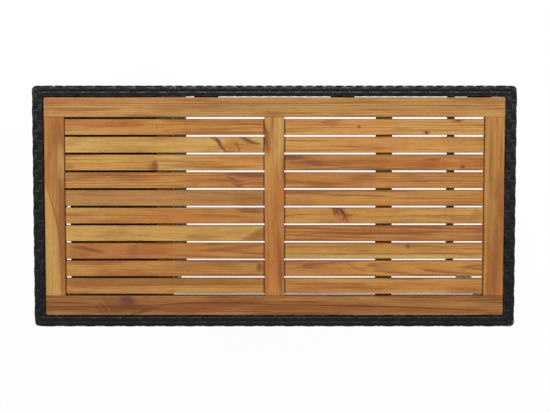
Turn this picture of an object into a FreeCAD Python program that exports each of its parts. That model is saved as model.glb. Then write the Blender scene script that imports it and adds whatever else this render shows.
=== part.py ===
import FreeCAD, Part
import os

# Bar table: a slatted wooden deck in a woven rim, carried by a woven end frame on the right
# and by a storage rack with three shelves on the left.
# Millimetres. +X runs to the right, +Y to the rear, +Z up. The origin is on the floor
# under the middle of the table. A span is a (low, high) pair along one axis.

# Overall size
TABLE_LENGTH = 1200.0
TABLE_DEPTH = 600.0
TABLE_HEIGHT = 1100.0
RACK_WIDTH = 306.0

# Steel tube, and the strands woven over it
TUBE_SIDE = 22.0
TUBE_WALL = 1.5
RIM_TUBE_HEIGHT = 42.0
WEAVE = 2.0
RIM_CORNER_RADIUS = 11.0

# Woven panels and the steel rods behind them
PANEL_WEAVE = 4.0
PANEL_ROD_RADIUS = 4.0
PANEL_ROD_COUNT = 4

# Foot glides and the plates on top of the legs
GLIDE_HEIGHT = 10.0
GLIDE_OVERHANG = 1.0
GLIDE_EDGE_RADIUS = 2.0
GLIDE_PLUG_LENGTH = 15.0
GLIDE_FIT = 0.2
LEG_PLATE_THICKNESS = 3.0
LEG_PLATE_REACH = 40.0

# Wooden deck
DECK_RECESS = 2.0
DECK_CLEARANCE = 1.5
RAIL_WIDTH = 49.0
RAIL_THICKNESS = 24.0
STILE_WIDTH = 50.0
SLAT_COUNT = 10
SLAT_GAP = 4.8
SLAT_THICKNESS = 12.0
SLAT_SHOULDER = 1.5
TONGUE_LENGTH = 6.0
TONGUE_THICKNESS = 5.0
TENON_LENGTH = 12.0
TENON_THICKNESS = 8.0
TENON_SHOULDER = 8.0
JOINERY_FIT = 0.15
BATTEN_WIDTH = 40.0
BATTEN_THICKNESS = 18.0
BATTEN_END_GAP = 0.5
BOARD_EDGE_RADIUS = 1.2
DECK_CORNER_RADIUS = 5.0

# Steel tabs under the deck
LONG_TAB_COUNT = 4
LONG_TAB_END = 61.0
SHORT_TAB_COUNT = 2
SHORT_TAB_SPACING = 220.0
TAB_WIDTH = 60.0
TAB_THICKNESS = 3.0
TAB_BEARING = 24.0

# Rack shelves and the brackets that carry them
SHELF_NAMES = ("bottom", "middle", "upper")
BOTTOM_SHELF_TOP = 80.0
SHELF_PITCH = 312.0
SHELF_TUBE = 20.0
SHELF_TUBE_WALL = 1.2
SHELF_CROSSBARS = 2
SHELF_CLEARANCE = 0.3
BRACKET_REACH = 26.0
BRACKET_WIDTH = 16.0
BRACKET_THICKNESS = 3.0

# Fasteners
BOLT_RADIUS = 3.0
BOLT_HEAD_RADIUS = 5.0
BOLT_HEAD_HEIGHT = 4.0
BOLT_HOLE_CLEARANCE = 0.3
NUT_RADIUS = 4.6
NUT_BORE_FIT = 0.1
NUT_LENGTH = 9.0
SCREW_RADIUS = 2.0
SCREW_HEAD_RADIUS = 4.0
SCREW_HEAD_HEIGHT = 2.5
SCREW_FIT = 0.1
TAB_SCREW_BITE = 13.0
BATTEN_SCREW_BITE = 8.0

# Levels and spans of the frame
HALF_LENGTH = TABLE_LENGTH / 2
HALF_DEPTH = TABLE_DEPTH / 2
RIM_BOTTOM = TABLE_HEIGHT - RIM_TUBE_HEIGHT - 2 * WEAVE
RIM_Z = (RIM_BOTTOM + WEAVE, TABLE_HEIGHT - WEAVE)
LEG_Z = (GLIDE_HEIGHT, RIM_BOTTOM - LEG_PLATE_THICKNESS)
PLATE_Z = (LEG_Z[1], RIM_BOTTOM)
BAR_Z = (GLIDE_HEIGHT + WEAVE, GLIDE_HEIGHT + WEAVE + TUBE_SIDE)
PANEL_Z = (BAR_Z[1] + WEAVE, RIM_BOTTOM)
RACK_FACE = RACK_WIDTH - HALF_LENGTH
LEFT_X = (WEAVE - HALF_LENGTH, WEAVE + TUBE_SIDE - HALF_LENGTH)
RACK_X = (RACK_FACE - WEAVE - TUBE_SIDE, RACK_FACE - WEAVE)
RIGHT_X = (HALF_LENGTH - WEAVE - TUBE_SIDE, HALF_LENGTH - WEAVE)
FRONT_Y = (WEAVE - HALF_DEPTH, WEAVE + TUBE_SIDE - HALF_DEPTH)
REAR_Y = (HALF_DEPTH - WEAVE - TUBE_SIDE, HALF_DEPTH - WEAVE)
CENTRE_Y = (-TUBE_SIDE / 2, TUBE_SIDE / 2)
BETWEEN_Y = (FRONT_Y[1], REAR_Y[0])

# Levels and spans of the deck
DECK_TOP = TABLE_HEIGHT - DECK_RECESS
RAIL_Z = (DECK_TOP - RAIL_THICKNESS, DECK_TOP)
SLAT_Z = (DECK_TOP - SLAT_THICKNESS, DECK_TOP)
BATTEN_Z = (SLAT_Z[0] - BATTEN_THICKNESS, SLAT_Z[0])
TAB_Z = (RAIL_Z[0] - TAB_THICKNESS, RAIL_Z[0])
DECK_END = RIGHT_X[0] - WEAVE - DECK_CLEARANCE
DECK_SIDE = REAR_Y[0] - WEAVE - DECK_CLEARANCE
STILE_END = DECK_SIDE - RAIL_WIDTH
STILE_Y = (-STILE_END, STILE_END)
STILE_X = {
    "left": (-DECK_END, STILE_WIDTH - DECK_END),
    "centre": (-STILE_WIDTH / 2, STILE_WIDTH / 2),
    "right": (DECK_END - STILE_WIDTH, DECK_END),
}
BAY_X = {
    "left": (STILE_X["left"][1], STILE_X["centre"][0]),
    "right": (STILE_X["centre"][1], STILE_X["right"][0]),
}
SLAT_PITCH = (2 * STILE_END - SLAT_GAP) / SLAT_COUNT
SLAT_WIDTH = SLAT_PITCH - SLAT_GAP

# Levels and spans of the shelves
SHELF_HEIGHT = SHELF_TUBE + 2 * WEAVE
SHELF_X = (LEFT_X[1] + WEAVE + SHELF_CLEARANCE, RACK_X[0] - WEAVE - SHELF_CLEARANCE)
SHELF_Y = (-HALF_DEPTH, HALF_DEPTH)

# Distance within which two points count as level
TOLERANCE = 1e-3


def box(x, y, z):
    """Block that fills three spans."""
    return Part.makeBox(x[1] - x[0], y[1] - y[0], z[1] - z[0], FreeCAD.Vector(x[0], y[0], z[0]))


def grow(span, by):
    """Span made longer by the same amount at both ends."""
    return (span[0] - by, span[1] + by)


def about(centre, width):
    """Span of a given width about a centre."""
    return (centre - width / 2, centre + width / 2)


def middle(span):
    """Middle of a span."""
    return (span[0] + span[1]) / 2


def between(span, count):
    """Places that divide a span into equal stretches, without its ends."""
    step = (span[1] - span[0]) / (count + 1)
    return [span[0] + step * (i + 1) for i in range(count)]


def spread(count, spacing):
    """Places with a steady spacing about zero."""
    return [(i - (count - 1) / 2) * spacing for i in range(count)]


def tube(x, y, z, axis, wall):
    """Rectangular tube, open at both ends along one axis."""
    spans = {"x": x, "y": y, "z": z}
    bore = [span if name == axis else grow(span, -wall) for name, span in spans.items()]
    return box(x, y, z).cut(box(*bore))


def bar(x, y, z, radius):
    """Round upright bar that fills a span along Z."""
    return Part.makeCylinder(radius, z[1] - z[0], FreeCAD.Vector(x, y, z[0]))


def fused(shapes):
    """One solid made of shapes that meet."""
    return shapes[0].multiFuse(shapes[1:]).removeSplitter()


def eased(shape, radius, level):
    """Shape with its edges rounded at one level."""
    edges = [e for e in shape.Edges if all(abs(v.Z - level) < TOLERANCE for v in e.Vertexes)]
    return shape.makeFillet(radius, edges)


def rounded_corners(shape, radius, limit):
    """Shape with those upright edges rounded that stand further out along Y than a limit."""
    edges = [e for e in shape.Edges
             if abs(e.Vertexes[0].Z - e.Vertexes[-1].Z) > radius
             and min(abs(v.Y) for v in e.Vertexes) > limit]
    return shape.makeFillet(radius, edges)


def save(name, *solids):
    """Write one node, which holds one solid or a group of separate ones."""
    shape = solids[0] if len(solids) == 1 else Part.makeCompound(solids)
    shape.exportStep(f"parts/{name}.step")


def fastener(x, y, seat, reach, radius, head_radius, head_height):
    """Bolt or screw that points up, with its head under a seat."""
    head = bar(x, y, (seat - head_height, seat), head_radius)
    return fused([head, bar(x, y, (seat, seat + reach), radius)])


def bolt(x, y, seat, reach):
    """Bolt with a round head."""
    return fastener(x, y, seat, reach, BOLT_RADIUS, BOLT_HEAD_RADIUS, BOLT_HEAD_HEIGHT)


def bolt_hole(x, y, z):
    """Clearance hole for a bolt."""
    return bar(x, y, z, BOLT_RADIUS + BOLT_HOLE_CLEARANCE)


def rivet_nut(x, y, seat):
    """Threaded sleeve that stands on the inside of a tube's lower wall."""
    z = (seat, seat + NUT_LENGTH)
    return bar(x, y, z, NUT_RADIUS).cut(bar(x, y, z, BOLT_RADIUS + NUT_BORE_FIT))


def screw(x, y, seat, reach):
    """Wood screw with a pan head."""
    return fastener(x, y, seat, reach, SCREW_RADIUS, SCREW_HEAD_RADIUS, SCREW_HEAD_HEIGHT)


def screw_hole(x, y, seat, reach):
    """Pilot hole for a wood screw."""
    return bar(x, y, (seat, seat + reach), SCREW_RADIUS + SCREW_FIT)


class Leg:
    """Square upright tube with a plate on top that reaches along the rim and is bolted to it."""

    def __init__(self, x, y, toward, foot=LEG_Z[0]):
        """Take the tube's spans, the (x, y) step of the plate's reach and the tube's lower end."""
        self.x = x
        self.y = y
        self.z = (foot, LEG_Z[1])
        reach = [step * LEG_PLATE_REACH for step in toward]
        self.plate_x = (x[0] + min(0, reach[0]), x[1] + max(0, reach[0]))
        self.plate_y = (y[0] + min(0, reach[1]), y[1] + max(0, reach[1]))
        self.bolt_x = middle(x) + toward[0] * (TUBE_SIDE + LEG_PLATE_REACH) / 2
        self.bolt_y = middle(y) + toward[1] * (TUBE_SIDE + LEG_PLATE_REACH) / 2

    def solid(self):
        """Tube and plate as one welded piece."""
        plate = box(self.plate_x, self.plate_y, PLATE_Z)
        hole = bolt_hole(self.bolt_x, self.bolt_y, PLATE_Z)
        return fused([tube(self.x, self.y, self.z, "z", TUBE_WALL), plate.cut(hole)])

    def core(self):
        """Space inside the weave."""
        return box(self.x, self.y, self.z)

    def sleeve(self):
        """Space inside the weave and the weave itself."""
        return box(grow(self.x, WEAVE), grow(self.y, WEAVE), self.z)

    def glide(self):
        """Foot with a plug that fits the tube's lower end."""
        foot = box(grow(self.x, GLIDE_OVERHANG), grow(self.y, GLIDE_OVERHANG), (0, GLIDE_HEIGHT))
        inset = -TUBE_WALL - GLIDE_FIT
        plug_z = (GLIDE_HEIGHT, GLIDE_HEIGHT + GLIDE_PLUG_LENGTH)
        plug = box(grow(self.x, inset), grow(self.y, inset), plug_z)
        return fused([rounded_corners(foot, GLIDE_EDGE_RADIUS, 0), plug])

    def rim_bolt(self):
        """Bolt through the plate into the rim."""
        reach = RIM_Z[0] + TUBE_WALL + NUT_LENGTH - LEG_Z[1]
        return bolt(self.bolt_x, self.bolt_y, LEG_Z[1], reach)

    def rim_nut(self):
        """Rivet nut on the rim tube's lower wall."""
        return rivet_nut(self.bolt_x, self.bolt_y, RIM_Z[0] + TUBE_WALL)

    def rim_hole(self):
        """Hole through the rim's weave and lower wall."""
        return bolt_hole(self.bolt_x, self.bolt_y, (RIM_BOTTOM, RIM_Z[0] + TUBE_WALL))


class Shelf:
    """Welded tube frame inside a woven cover, on four brackets between the rack's posts."""

    def __init__(self, name, top):
        """Take the shelf's name and the level of its woven top."""
        self.name = name
        self.z = (top - SHELF_HEIGHT, top)
        self.tube_z = grow(self.z, -WEAVE)
        self.bracket_z = (self.z[0] - BRACKET_THICKNESS, self.z[0])
        self.frame_x = grow(SHELF_X, -WEAVE)
        self.frame_y = grow(SHELF_Y, -WEAVE)
        self.hole_x = grow(self.frame_x, -SHELF_TUBE)
        self.hole_y = grow(self.frame_y, -SHELF_TUBE)
        left_x = (LEFT_X[1], LEFT_X[1] + WEAVE + BRACKET_REACH)
        right_x = (RACK_X[0] - WEAVE - BRACKET_REACH, RACK_X[0])
        bolt_x = (left_x[1] - BRACKET_REACH / 2, right_x[0] + BRACKET_REACH / 2)
        rows = (middle(FRONT_Y), middle(REAR_Y))
        self.seats = [(x, about(y, BRACKET_WIDTH)) for x in (left_x, right_x) for y in rows]
        self.bolt_places = [(x, y) for x in bolt_x for y in rows]

    def crossbars(self):
        """Spans along Y of the bars under the woven top."""
        return [about(y, SHELF_TUBE) for y in between(self.hole_y, SHELF_CROSSBARS)]

    def holes(self):
        """Bolt holes through brackets, cover and the frame's lower wall."""
        z = (self.bracket_z[0], self.tube_z[0] + SHELF_TUBE_WALL)
        return [bolt_hole(x, y, z) for x, y in self.bolt_places]

    def frame(self):
        """Four tubes and the crossbars as one welded piece."""
        front_y = (self.frame_y[0], self.hole_y[0])
        rear_y = (self.hole_y[1], self.frame_y[1])
        left_x = (self.frame_x[0], self.hole_x[0])
        right_x = (self.hole_x[1], self.frame_x[1])
        tubes = [tube(self.frame_x, y, self.tube_z, "x", SHELF_TUBE_WALL) for y in (front_y, rear_y)]
        tubes += [tube(x, self.hole_y, self.tube_z, "y", SHELF_TUBE_WALL) for x in (left_x, right_x)]
        tubes += [tube(self.hole_x, y, self.tube_z, "x", SHELF_TUBE_WALL) for y in self.crossbars()]
        return fused(tubes).cut(self.holes())

    def cover(self):
        """Weave round the frame's tubes and across their tops."""
        ring = box(self.frame_x, self.frame_y, self.tube_z).cut(box(self.hole_x, self.hole_y, self.tube_z))
        below = box(grow(self.hole_x, -WEAVE), grow(self.hole_y, -WEAVE), (self.z[0], self.tube_z[1]))
        crossbars = [box(self.hole_x, y, self.tube_z) for y in self.crossbars()]
        return box(SHELF_X, SHELF_Y, self.z).cut([ring, below] + crossbars + self.holes())

    def slots(self):
        """Slots in the posts' weave for the brackets."""
        return [box(x, y, self.bracket_z) for x, y in self.seats]

    def brackets(self):
        """Tabs welded to the posts under the shelf's corners."""
        return [slot.cut(self.holes()) for slot in self.slots()]

    def bolts(self):
        """Bolts up through the brackets into the rivet nuts."""
        seat = self.bracket_z[0]
        reach = self.tube_z[0] + SHELF_TUBE_WALL + NUT_LENGTH - seat
        return [bolt(x, y, seat, reach) for x, y in self.bolt_places]

    def nuts(self):
        """Rivet nuts on the frame's lower wall."""
        return [rivet_nut(x, y, self.tube_z[0] + SHELF_TUBE_WALL) for x, y in self.bolt_places]


class Tab:
    """Flat steel tab on the inside of a rim tube, under the deck, with its screw."""

    def __init__(self, x, y, screw_x, screw_y):
        """Take the tab's spans and its screw's place."""
        self.x = x
        self.y = y
        self.at = (screw_x, screw_y, TAB_Z[0], TAB_THICKNESS + TAB_SCREW_BITE)

    def slot(self):
        """Space that the tab fills."""
        return box(self.x, self.y, TAB_Z)

    def solid(self):
        """Tab with its screw hole."""
        return self.slot().cut(screw_hole(*self.at))


def deck_tabs():
    """Tabs on each rim tube, by the tube's name."""
    bearing = WEAVE + DECK_CLEARANCE + TAB_BEARING
    hole = DECK_SIDE - TAB_BEARING / 2
    end_hole = DECK_END - TAB_BEARING / 2
    spacing = 2 * (DECK_END - LONG_TAB_END) / (LONG_TAB_COUNT - 1)
    tabs = {"front": [], "rear": [], "left": [], "right": []}
    for x in spread(LONG_TAB_COUNT, spacing):
        width = about(x, TAB_WIDTH)
        tabs["front"].append(Tab(width, (FRONT_Y[1], FRONT_Y[1] + bearing), x, -hole))
        tabs["rear"].append(Tab(width, (REAR_Y[0] - bearing, REAR_Y[0]), x, hole))
    for y in spread(SHORT_TAB_COUNT, SHORT_TAB_SPACING):
        width = about(y, TAB_WIDTH)
        tabs["left"].append(Tab((LEFT_X[1], LEFT_X[1] + bearing), width, -end_hole, y))
        tabs["right"].append(Tab((RIGHT_X[0] - bearing, RIGHT_X[0]), width, end_hole, y))
    return tabs


def batten_screws():
    """Places of the screws that go up through the battens, one into each slat."""
    reach = BATTEN_THICKNESS + BATTEN_SCREW_BITE
    return [(middle(x), middle(slat_span(i)), BATTEN_Z[0], reach)
            for x in BAY_X.values() for i in range(SLAT_COUNT)]


def slat_span(index):
    """Span along Y of one slat, counted from the rear."""
    rear = STILE_END - SLAT_GAP - index * SLAT_PITCH
    return (rear - SLAT_WIDTH, rear)


def build_rim(tabs, legs):
    """Rim tubes with their tabs, and the weave round them."""
    long_x = (LEFT_X[0], RIGHT_X[1])
    holes = [leg.rim_hole() for leg in legs]
    core = box(long_x, (FRONT_Y[0], REAR_Y[1]), RIM_Z)
    core = rounded_corners(core, RIM_CORNER_RADIUS - WEAVE, 0)
    sides = {
        "front": tube(long_x, FRONT_Y, RIM_Z, "x", TUBE_WALL).common(core),
        "rear": tube(long_x, REAR_Y, RIM_Z, "x", TUBE_WALL).common(core),
        "left": tube(LEFT_X, BETWEEN_Y, RIM_Z, "y", TUBE_WALL),
        "right": tube(RIGHT_X, BETWEEN_Y, RIM_Z, "y", TUBE_WALL),
    }
    for name, side in sides.items():
        save(f"rim_tube_{name}", fused([side] + [tab.solid() for tab in tabs[name]]).cut(holes))

    between_x = (LEFT_X[1], RIGHT_X[0])
    core = core.cut(box(between_x, BETWEEN_Y, RIM_Z))
    rim_z = (RIM_BOTTOM, TABLE_HEIGHT)
    outline = box(grow(long_x, WEAVE), (-HALF_DEPTH, HALF_DEPTH), rim_z)
    outline = rounded_corners(outline, RIM_CORNER_RADIUS, 0)
    opening = box(grow(between_x, -WEAVE), grow(BETWEEN_Y, -WEAVE), rim_z)
    slots = [tab.slot() for side in tabs.values() for tab in side]
    save("rim_weave", outline.cut([opening, core] + slots + holes))


def build_frame(name, x, legs, cuts):
    """Floor bar of an end frame, and the weave round the bar and its legs."""
    save(f"floor_bar_{name}", tube(x, BETWEEN_Y, BAR_Z, "y", TUBE_WALL))
    sleeve = fused([box(grow(x, WEAVE), BETWEEN_Y, grow(BAR_Z, WEAVE))] + [leg.sleeve() for leg in legs])
    cores = [box(x, BETWEEN_Y, BAR_Z)] + [leg.core() for leg in legs]
    save(f"{name}_frame_weave", sleeve.cut(cores + cuts))


def panel_rods(x, y):
    """Level rods behind a panel, from one upright to the next."""
    places = between(PANEL_Z, PANEL_ROD_COUNT)
    length = y[1] - y[0]
    along = FreeCAD.Vector(0, 1, 0)
    return [Part.makeCylinder(PANEL_ROD_RADIUS, length, FreeCAD.Vector(x, y[0], z), along) for z in places]


def build_deck(tabs):
    """Rails, stiles, slats and battens, with pilot holes for their screws."""
    tab_holes = [screw_hole(*tab.at) for side in tabs.values() for tab in side]
    slat_holes = [screw_hole(*place) for place in batten_screws()]
    tenon_z = about(middle(RAIL_Z), TENON_THICKNESS)
    tongue_z = about(middle(SLAT_Z), TONGUE_THICKNESS)
    groove_z = grow(tongue_z, JOINERY_FIT)
    groove_depth = TONGUE_LENGTH + JOINERY_FIT
    grooves = [box(grow(x, groove_depth), STILE_Y, groove_z) for x in BAY_X.values()]
    for name, x in STILE_X.items():
        board = eased(box(x, STILE_Y, RAIL_Z), BOARD_EDGE_RADIUS, DECK_TOP)
        tenon = box(grow(x, -TENON_SHOULDER), grow(STILE_Y, TENON_LENGTH), tenon_z)
        save(f"deck_stile_{name}", fused([board.cut(grooves), tenon.cut(grooves)]).cut(tab_holes))

    mortises = [box(grow(x, JOINERY_FIT - TENON_SHOULDER), grow(STILE_Y, TENON_LENGTH + JOINERY_FIT),
                    grow(tenon_z, JOINERY_FIT)) for x in STILE_X.values()]
    for name, y in (("front", (-DECK_SIDE, -STILE_END)), ("rear", (STILE_END, DECK_SIDE))):
        board = box((-DECK_END, DECK_END), y, RAIL_Z)
        board = rounded_corners(board, DECK_CORNER_RADIUS, STILE_END + TOLERANCE)
        board = eased(board, BOARD_EDGE_RADIUS, DECK_TOP)
        save(f"deck_rail_{name}", board.cut(mortises + tab_holes))

    for bay, x in BAY_X.items():
        for i in range(SLAT_COUNT):
            board = eased(box(grow(x, -SLAT_SHOULDER), slat_span(i), SLAT_Z), BOARD_EDGE_RADIUS, DECK_TOP)
            tongue = box(grow(x, TONGUE_LENGTH), slat_span(i), tongue_z)
            save(f"slat_{bay}_{i + 1:02d}", fused([board, tongue]).cut(slat_holes))
        batten = box(about(middle(x), BATTEN_WIDTH), grow(STILE_Y, -BATTEN_END_GAP), BATTEN_Z)
        save(f"deck_batten_{bay}", batten.cut(slat_holes))


def build():
    """Make every piece of the table."""
    inward_left = (1, 0)
    inward_right = (-1, 0)
    to_front = (0, -1)
    legs = {
        "leg_left_front": Leg(LEFT_X, FRONT_Y, inward_left),
        "leg_left_rear": Leg(LEFT_X, REAR_Y, inward_left),
        "rack_post_front": Leg(RACK_X, FRONT_Y, inward_right),
        "rack_post_rear": Leg(RACK_X, REAR_Y, inward_right),
        "leg_right_front": Leg(RIGHT_X, FRONT_Y, inward_right),
        "leg_right_rear": Leg(RIGHT_X, REAR_Y, inward_right),
    }
    centre_post = Leg(LEFT_X, CENTRE_Y, to_front, BAR_Z[1])
    uprights = list(legs.values()) + [centre_post]
    shelves = [Shelf(name, BOTTOM_SHELF_TOP + i * SHELF_PITCH) for i, name in enumerate(SHELF_NAMES)]
    tabs = deck_tabs()

    for name, leg in legs.items():
        save(name, leg.solid())
    save("left_centre_post", centre_post.solid())
    save("foot_glides", *[leg.glide() for leg in legs.values()])

    rack_rods = panel_rods(RACK_FACE - PANEL_WEAVE - PANEL_ROD_RADIUS, BETWEEN_Y)
    left_rods = panel_rods(PANEL_WEAVE + PANEL_ROD_RADIUS - HALF_LENGTH, (CENTRE_Y[1], REAR_Y[0]))
    save("panel_rods", *rack_rods, *left_rods)
    panel_y = grow(BETWEEN_Y, -WEAVE)
    half_panel_y = (CENTRE_Y[1] + WEAVE, panel_y[1])
    save("rack_panel_weave", box((RACK_FACE - PANEL_WEAVE, RACK_FACE), panel_y, PANEL_Z))
    save("left_panel_weave", box((-HALF_LENGTH, PANEL_WEAVE - HALF_LENGTH), half_panel_y, PANEL_Z))

    slots = [slot for shelf in shelves for slot in shelf.slots()]
    left_legs = [legs["leg_left_front"], legs["leg_left_rear"], centre_post]
    build_frame("left", LEFT_X, left_legs, slots + left_rods)
    build_frame("rack", RACK_X, [legs["rack_post_front"], legs["rack_post_rear"]], slots + rack_rods)
    build_frame("right", RIGHT_X, [legs["leg_right_front"], legs["leg_right_rear"]], [])

    for shelf in shelves:
        save(f"shelf_frame_{shelf.name}", shelf.frame())
        save(f"shelf_weave_{shelf.name}", shelf.cover())
    save("shelf_brackets", *[bracket for shelf in shelves for bracket in shelf.brackets()])

    build_rim(tabs, uprights)
    build_deck(tabs)

    save("shelf_bolts", *[piece for shelf in shelves for piece in shelf.bolts()])
    save("rim_bolts", *[leg.rim_bolt() for leg in uprights])
    shelf_nuts = [nut for shelf in shelves for nut in shelf.nuts()]
    save("rivet_nuts", *shelf_nuts, *[leg.rim_nut() for leg in uprights])
    places = [tab.at for side in tabs.values() for tab in side] + batten_screws()
    save("wood_screws", *[screw(*place) for place in places])


os.makedirs("parts", exist_ok=True)
build()
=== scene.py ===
"""Looks of a wicker bar table: an acacia deck in a woven rim, woven legs and a shelf rack."""

import logging
import math
from collections.abc import Sequence
from dataclasses import dataclass, field
from enum import Enum

import bpy
import numpy as np
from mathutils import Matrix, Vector

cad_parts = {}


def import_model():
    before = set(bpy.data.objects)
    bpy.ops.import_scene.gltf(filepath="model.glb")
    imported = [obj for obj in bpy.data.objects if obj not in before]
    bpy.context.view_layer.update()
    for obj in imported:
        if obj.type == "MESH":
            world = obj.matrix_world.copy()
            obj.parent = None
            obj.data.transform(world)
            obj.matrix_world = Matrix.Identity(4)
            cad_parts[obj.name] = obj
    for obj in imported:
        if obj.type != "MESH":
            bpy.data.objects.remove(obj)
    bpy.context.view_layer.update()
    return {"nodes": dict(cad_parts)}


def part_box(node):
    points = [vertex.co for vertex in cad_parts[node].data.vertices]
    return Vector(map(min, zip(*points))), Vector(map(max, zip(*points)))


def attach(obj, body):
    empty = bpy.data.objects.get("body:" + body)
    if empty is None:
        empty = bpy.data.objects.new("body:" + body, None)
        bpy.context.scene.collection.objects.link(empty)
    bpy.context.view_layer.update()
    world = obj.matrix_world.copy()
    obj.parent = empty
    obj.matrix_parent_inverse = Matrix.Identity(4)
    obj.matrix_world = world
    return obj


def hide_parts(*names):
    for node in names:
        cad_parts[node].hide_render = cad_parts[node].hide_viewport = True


log = logging.getLogger("bar_table")
Colour = tuple[float, float, float]
Wire = bpy.types.NodeSocket | float | Sequence[float]

# In metres: one millimetre, the deck's top, and how far from the middle the slats begin and end
MM = 0.001
DECK_TOP = 1.098
SHOULDERS = (0.0265, 0.521)


def linear(colour: Colour) -> tuple[float, float, float, float]:
    """Turn a colour as seen on a screen into the numbers that a shader takes.

    Args:
        colour: Red, green and blue from 0 to 255.

    Returns:
        The linear colour with full alpha.
    """
    parts = [c / 255 for c in colour]
    red, green, blue = (c / 12.92 if c <= 0.04045 else ((c + 0.055) / 1.055) ** 2.4 for c in parts)
    return red, green, blue, 1.0


class Graph:
    """Short calls that add and wire the nodes of one node tree."""

    def __init__(self, tree: bpy.types.NodeTree) -> None:
        """Keep the tree that the nodes go into."""
        self.tree = tree

    def node(self, kind: str, inputs: dict | None = None, **settings: object) -> bpy.types.Node:
        """Add a node.

        Args:
            kind: Blender's name for the type of node.
            inputs: Sockets by name or number, each with a value or with a socket to wire in.
            settings: Properties of the node.

        Returns:
            The new node.
        """
        node = self.tree.nodes.new(kind)
        for name, value in settings.items():
            setattr(node, name, value)
        for key, value in (inputs or {}).items():
            if isinstance(value, bpy.types.NodeSocket):
                self.tree.links.new(value, node.inputs[key])
            else:
                node.inputs[key].default_value = value
        return node

    def math(self, operation: str, *values: Wire) -> bpy.types.NodeSocket:
        """Put out the result of a Math node."""
        return self.node("ShaderNodeMath", dict(enumerate(values)), operation=operation).outputs[0]

    def vector(self, operation: str, *values: Wire) -> bpy.types.NodeSocket:
        """Put out the result of a Vector Math node."""
        inputs = dict(enumerate(values))
        return self.node("ShaderNodeVectorMath", inputs, operation=operation).outputs[0]

    def fade(self, value: Wire, low: Wire, high: Wire) -> bpy.types.NodeSocket:
        """Put out 0 at low and 1 at high, with a soft step between."""
        inputs = {"Value": value, "From Min": low, "From Max": high}
        return self.node("ShaderNodeMapRange", inputs, interpolation_type="SMOOTHSTEP").outputs[0]

    def spread(self, value: Wire, low: float, high: float) -> bpy.types.NodeSocket:
        """Put out a number from low to high for a value from 0 to 1."""
        inputs = {"Value": value, "To Min": low, "To Max": high}
        return self.node("ShaderNodeMapRange", inputs).outputs[0]

    def mix(self, share: Wire, first: Wire, second: Wire) -> bpy.types.NodeSocket:
        """Put out a mixture of two colours, from the colour sockets of a Mix node."""
        inputs = {0: share, 6: first, 7: second}
        return self.node("ShaderNodeMix", inputs, data_type="RGBA").outputs[2]

    def tint(self, base: Wire, mask: Wire, share: float, colour: Colour) -> bpy.types.NodeSocket:
        """Put out a colour that takes a share of another where a mask is 1."""
        return self.mix(self.math("MULTIPLY", mask, share), base, linear(colour))

    def noise(
        self, vector: Wire, stretch: Sequence[float], detail: float = 2.0
    ) -> bpy.types.NodeSocket:
        """Put out noise of the given counts to the metre along each axis.

        Args:
            vector: The place, in metres.
            stretch: Counts to the metre.
            detail: How many finer layers there are.

        Returns:
            A number about one half.
        """
        place = self.vector("MULTIPLY", vector, stretch)
        inputs = {"Vector": place, "Scale": 1.0, "Detail": detail}
        return self.node("ShaderNodeTexNoise", inputs).outputs[0]

    def split(self, vector: Wire) -> Sequence[bpy.types.NodeSocket]:
        """Put out the three parts of a vector."""
        return tuple(self.node("ShaderNodeSeparateXYZ", {0: vector}).outputs)

    def join(self, *parts: Wire) -> bpy.types.NodeSocket:
        """Put out a vector from its parts."""
        return self.node("ShaderNodeCombineXYZ", dict(enumerate(parts))).outputs[0]

    def place(self) -> bpy.types.NodeSocket:
        """Put out the place on the object, in metres."""
        return self.node("ShaderNodeTexCoord").outputs["Object"]

    def bump(self, height: Wire, distance: float) -> bpy.types.NodeSocket:
        """Put out the normal of a surface with that relief."""
        inputs = {"Height": height, "Distance": distance, "Strength": 1.0}
        return self.node("ShaderNodeBump", inputs).outputs[0]

    def group(self, tree: bpy.types.NodeTree, **inputs: Wire) -> bpy.types.Node:
        """Place a node group, with underscores in its input names for spaces."""
        named = {name.replace("_", " "): value for name, value in inputs.items()}
        return self.node("ShaderNodeGroup", named, node_tree=tree)


@dataclass(frozen=True)
class Figure:
    """A mask of stretched noise, with counts to the metre and the noise at its start and full."""

    stretch: tuple[float, float, float]
    detail: float
    start: float
    full: float

    def mask(self, graph: Graph, place: Wire) -> bpy.types.NodeSocket:
        """Put out the mask, from 0 to 1."""
        return graph.fade(graph.noise(place, self.stretch, self.detail), self.start, self.full)


class SharedGroup:
    """A shader node group that is built once and placed in several materials."""

    name = ""
    inputs: dict[str, str] = {}
    outputs: tuple[str, ...] = ()

    @classmethod
    def tree(cls) -> bpy.types.NodeTree:
        """Give the group, and build it the first time.

        Returns:
            The node tree.
        """
        ready = bpy.data.node_groups.get(cls.name)
        if ready:
            return ready
        tree = bpy.data.node_groups.new(cls.name, "ShaderNodeTree")
        for name, kind in cls.inputs.items():
            tree.interface.new_socket(name, in_out="INPUT", socket_type=f"NodeSocket{kind}")
        for name in cls.outputs:
            tree.interface.new_socket(name, in_out="OUTPUT", socket_type="NodeSocketFloat")
        graph = Graph(tree)
        source = graph.node("NodeGroupInput").outputs
        graph.node("NodeGroupOutput", cls.build(graph, source))
        return tree

    @classmethod
    def build(cls, graph: Graph, source: bpy.types.NodeOutputs) -> dict[str, bpy.types.NodeSocket]:
        """Wire the inside of the group and give its outputs by name."""
        raise NotImplementedError


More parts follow.
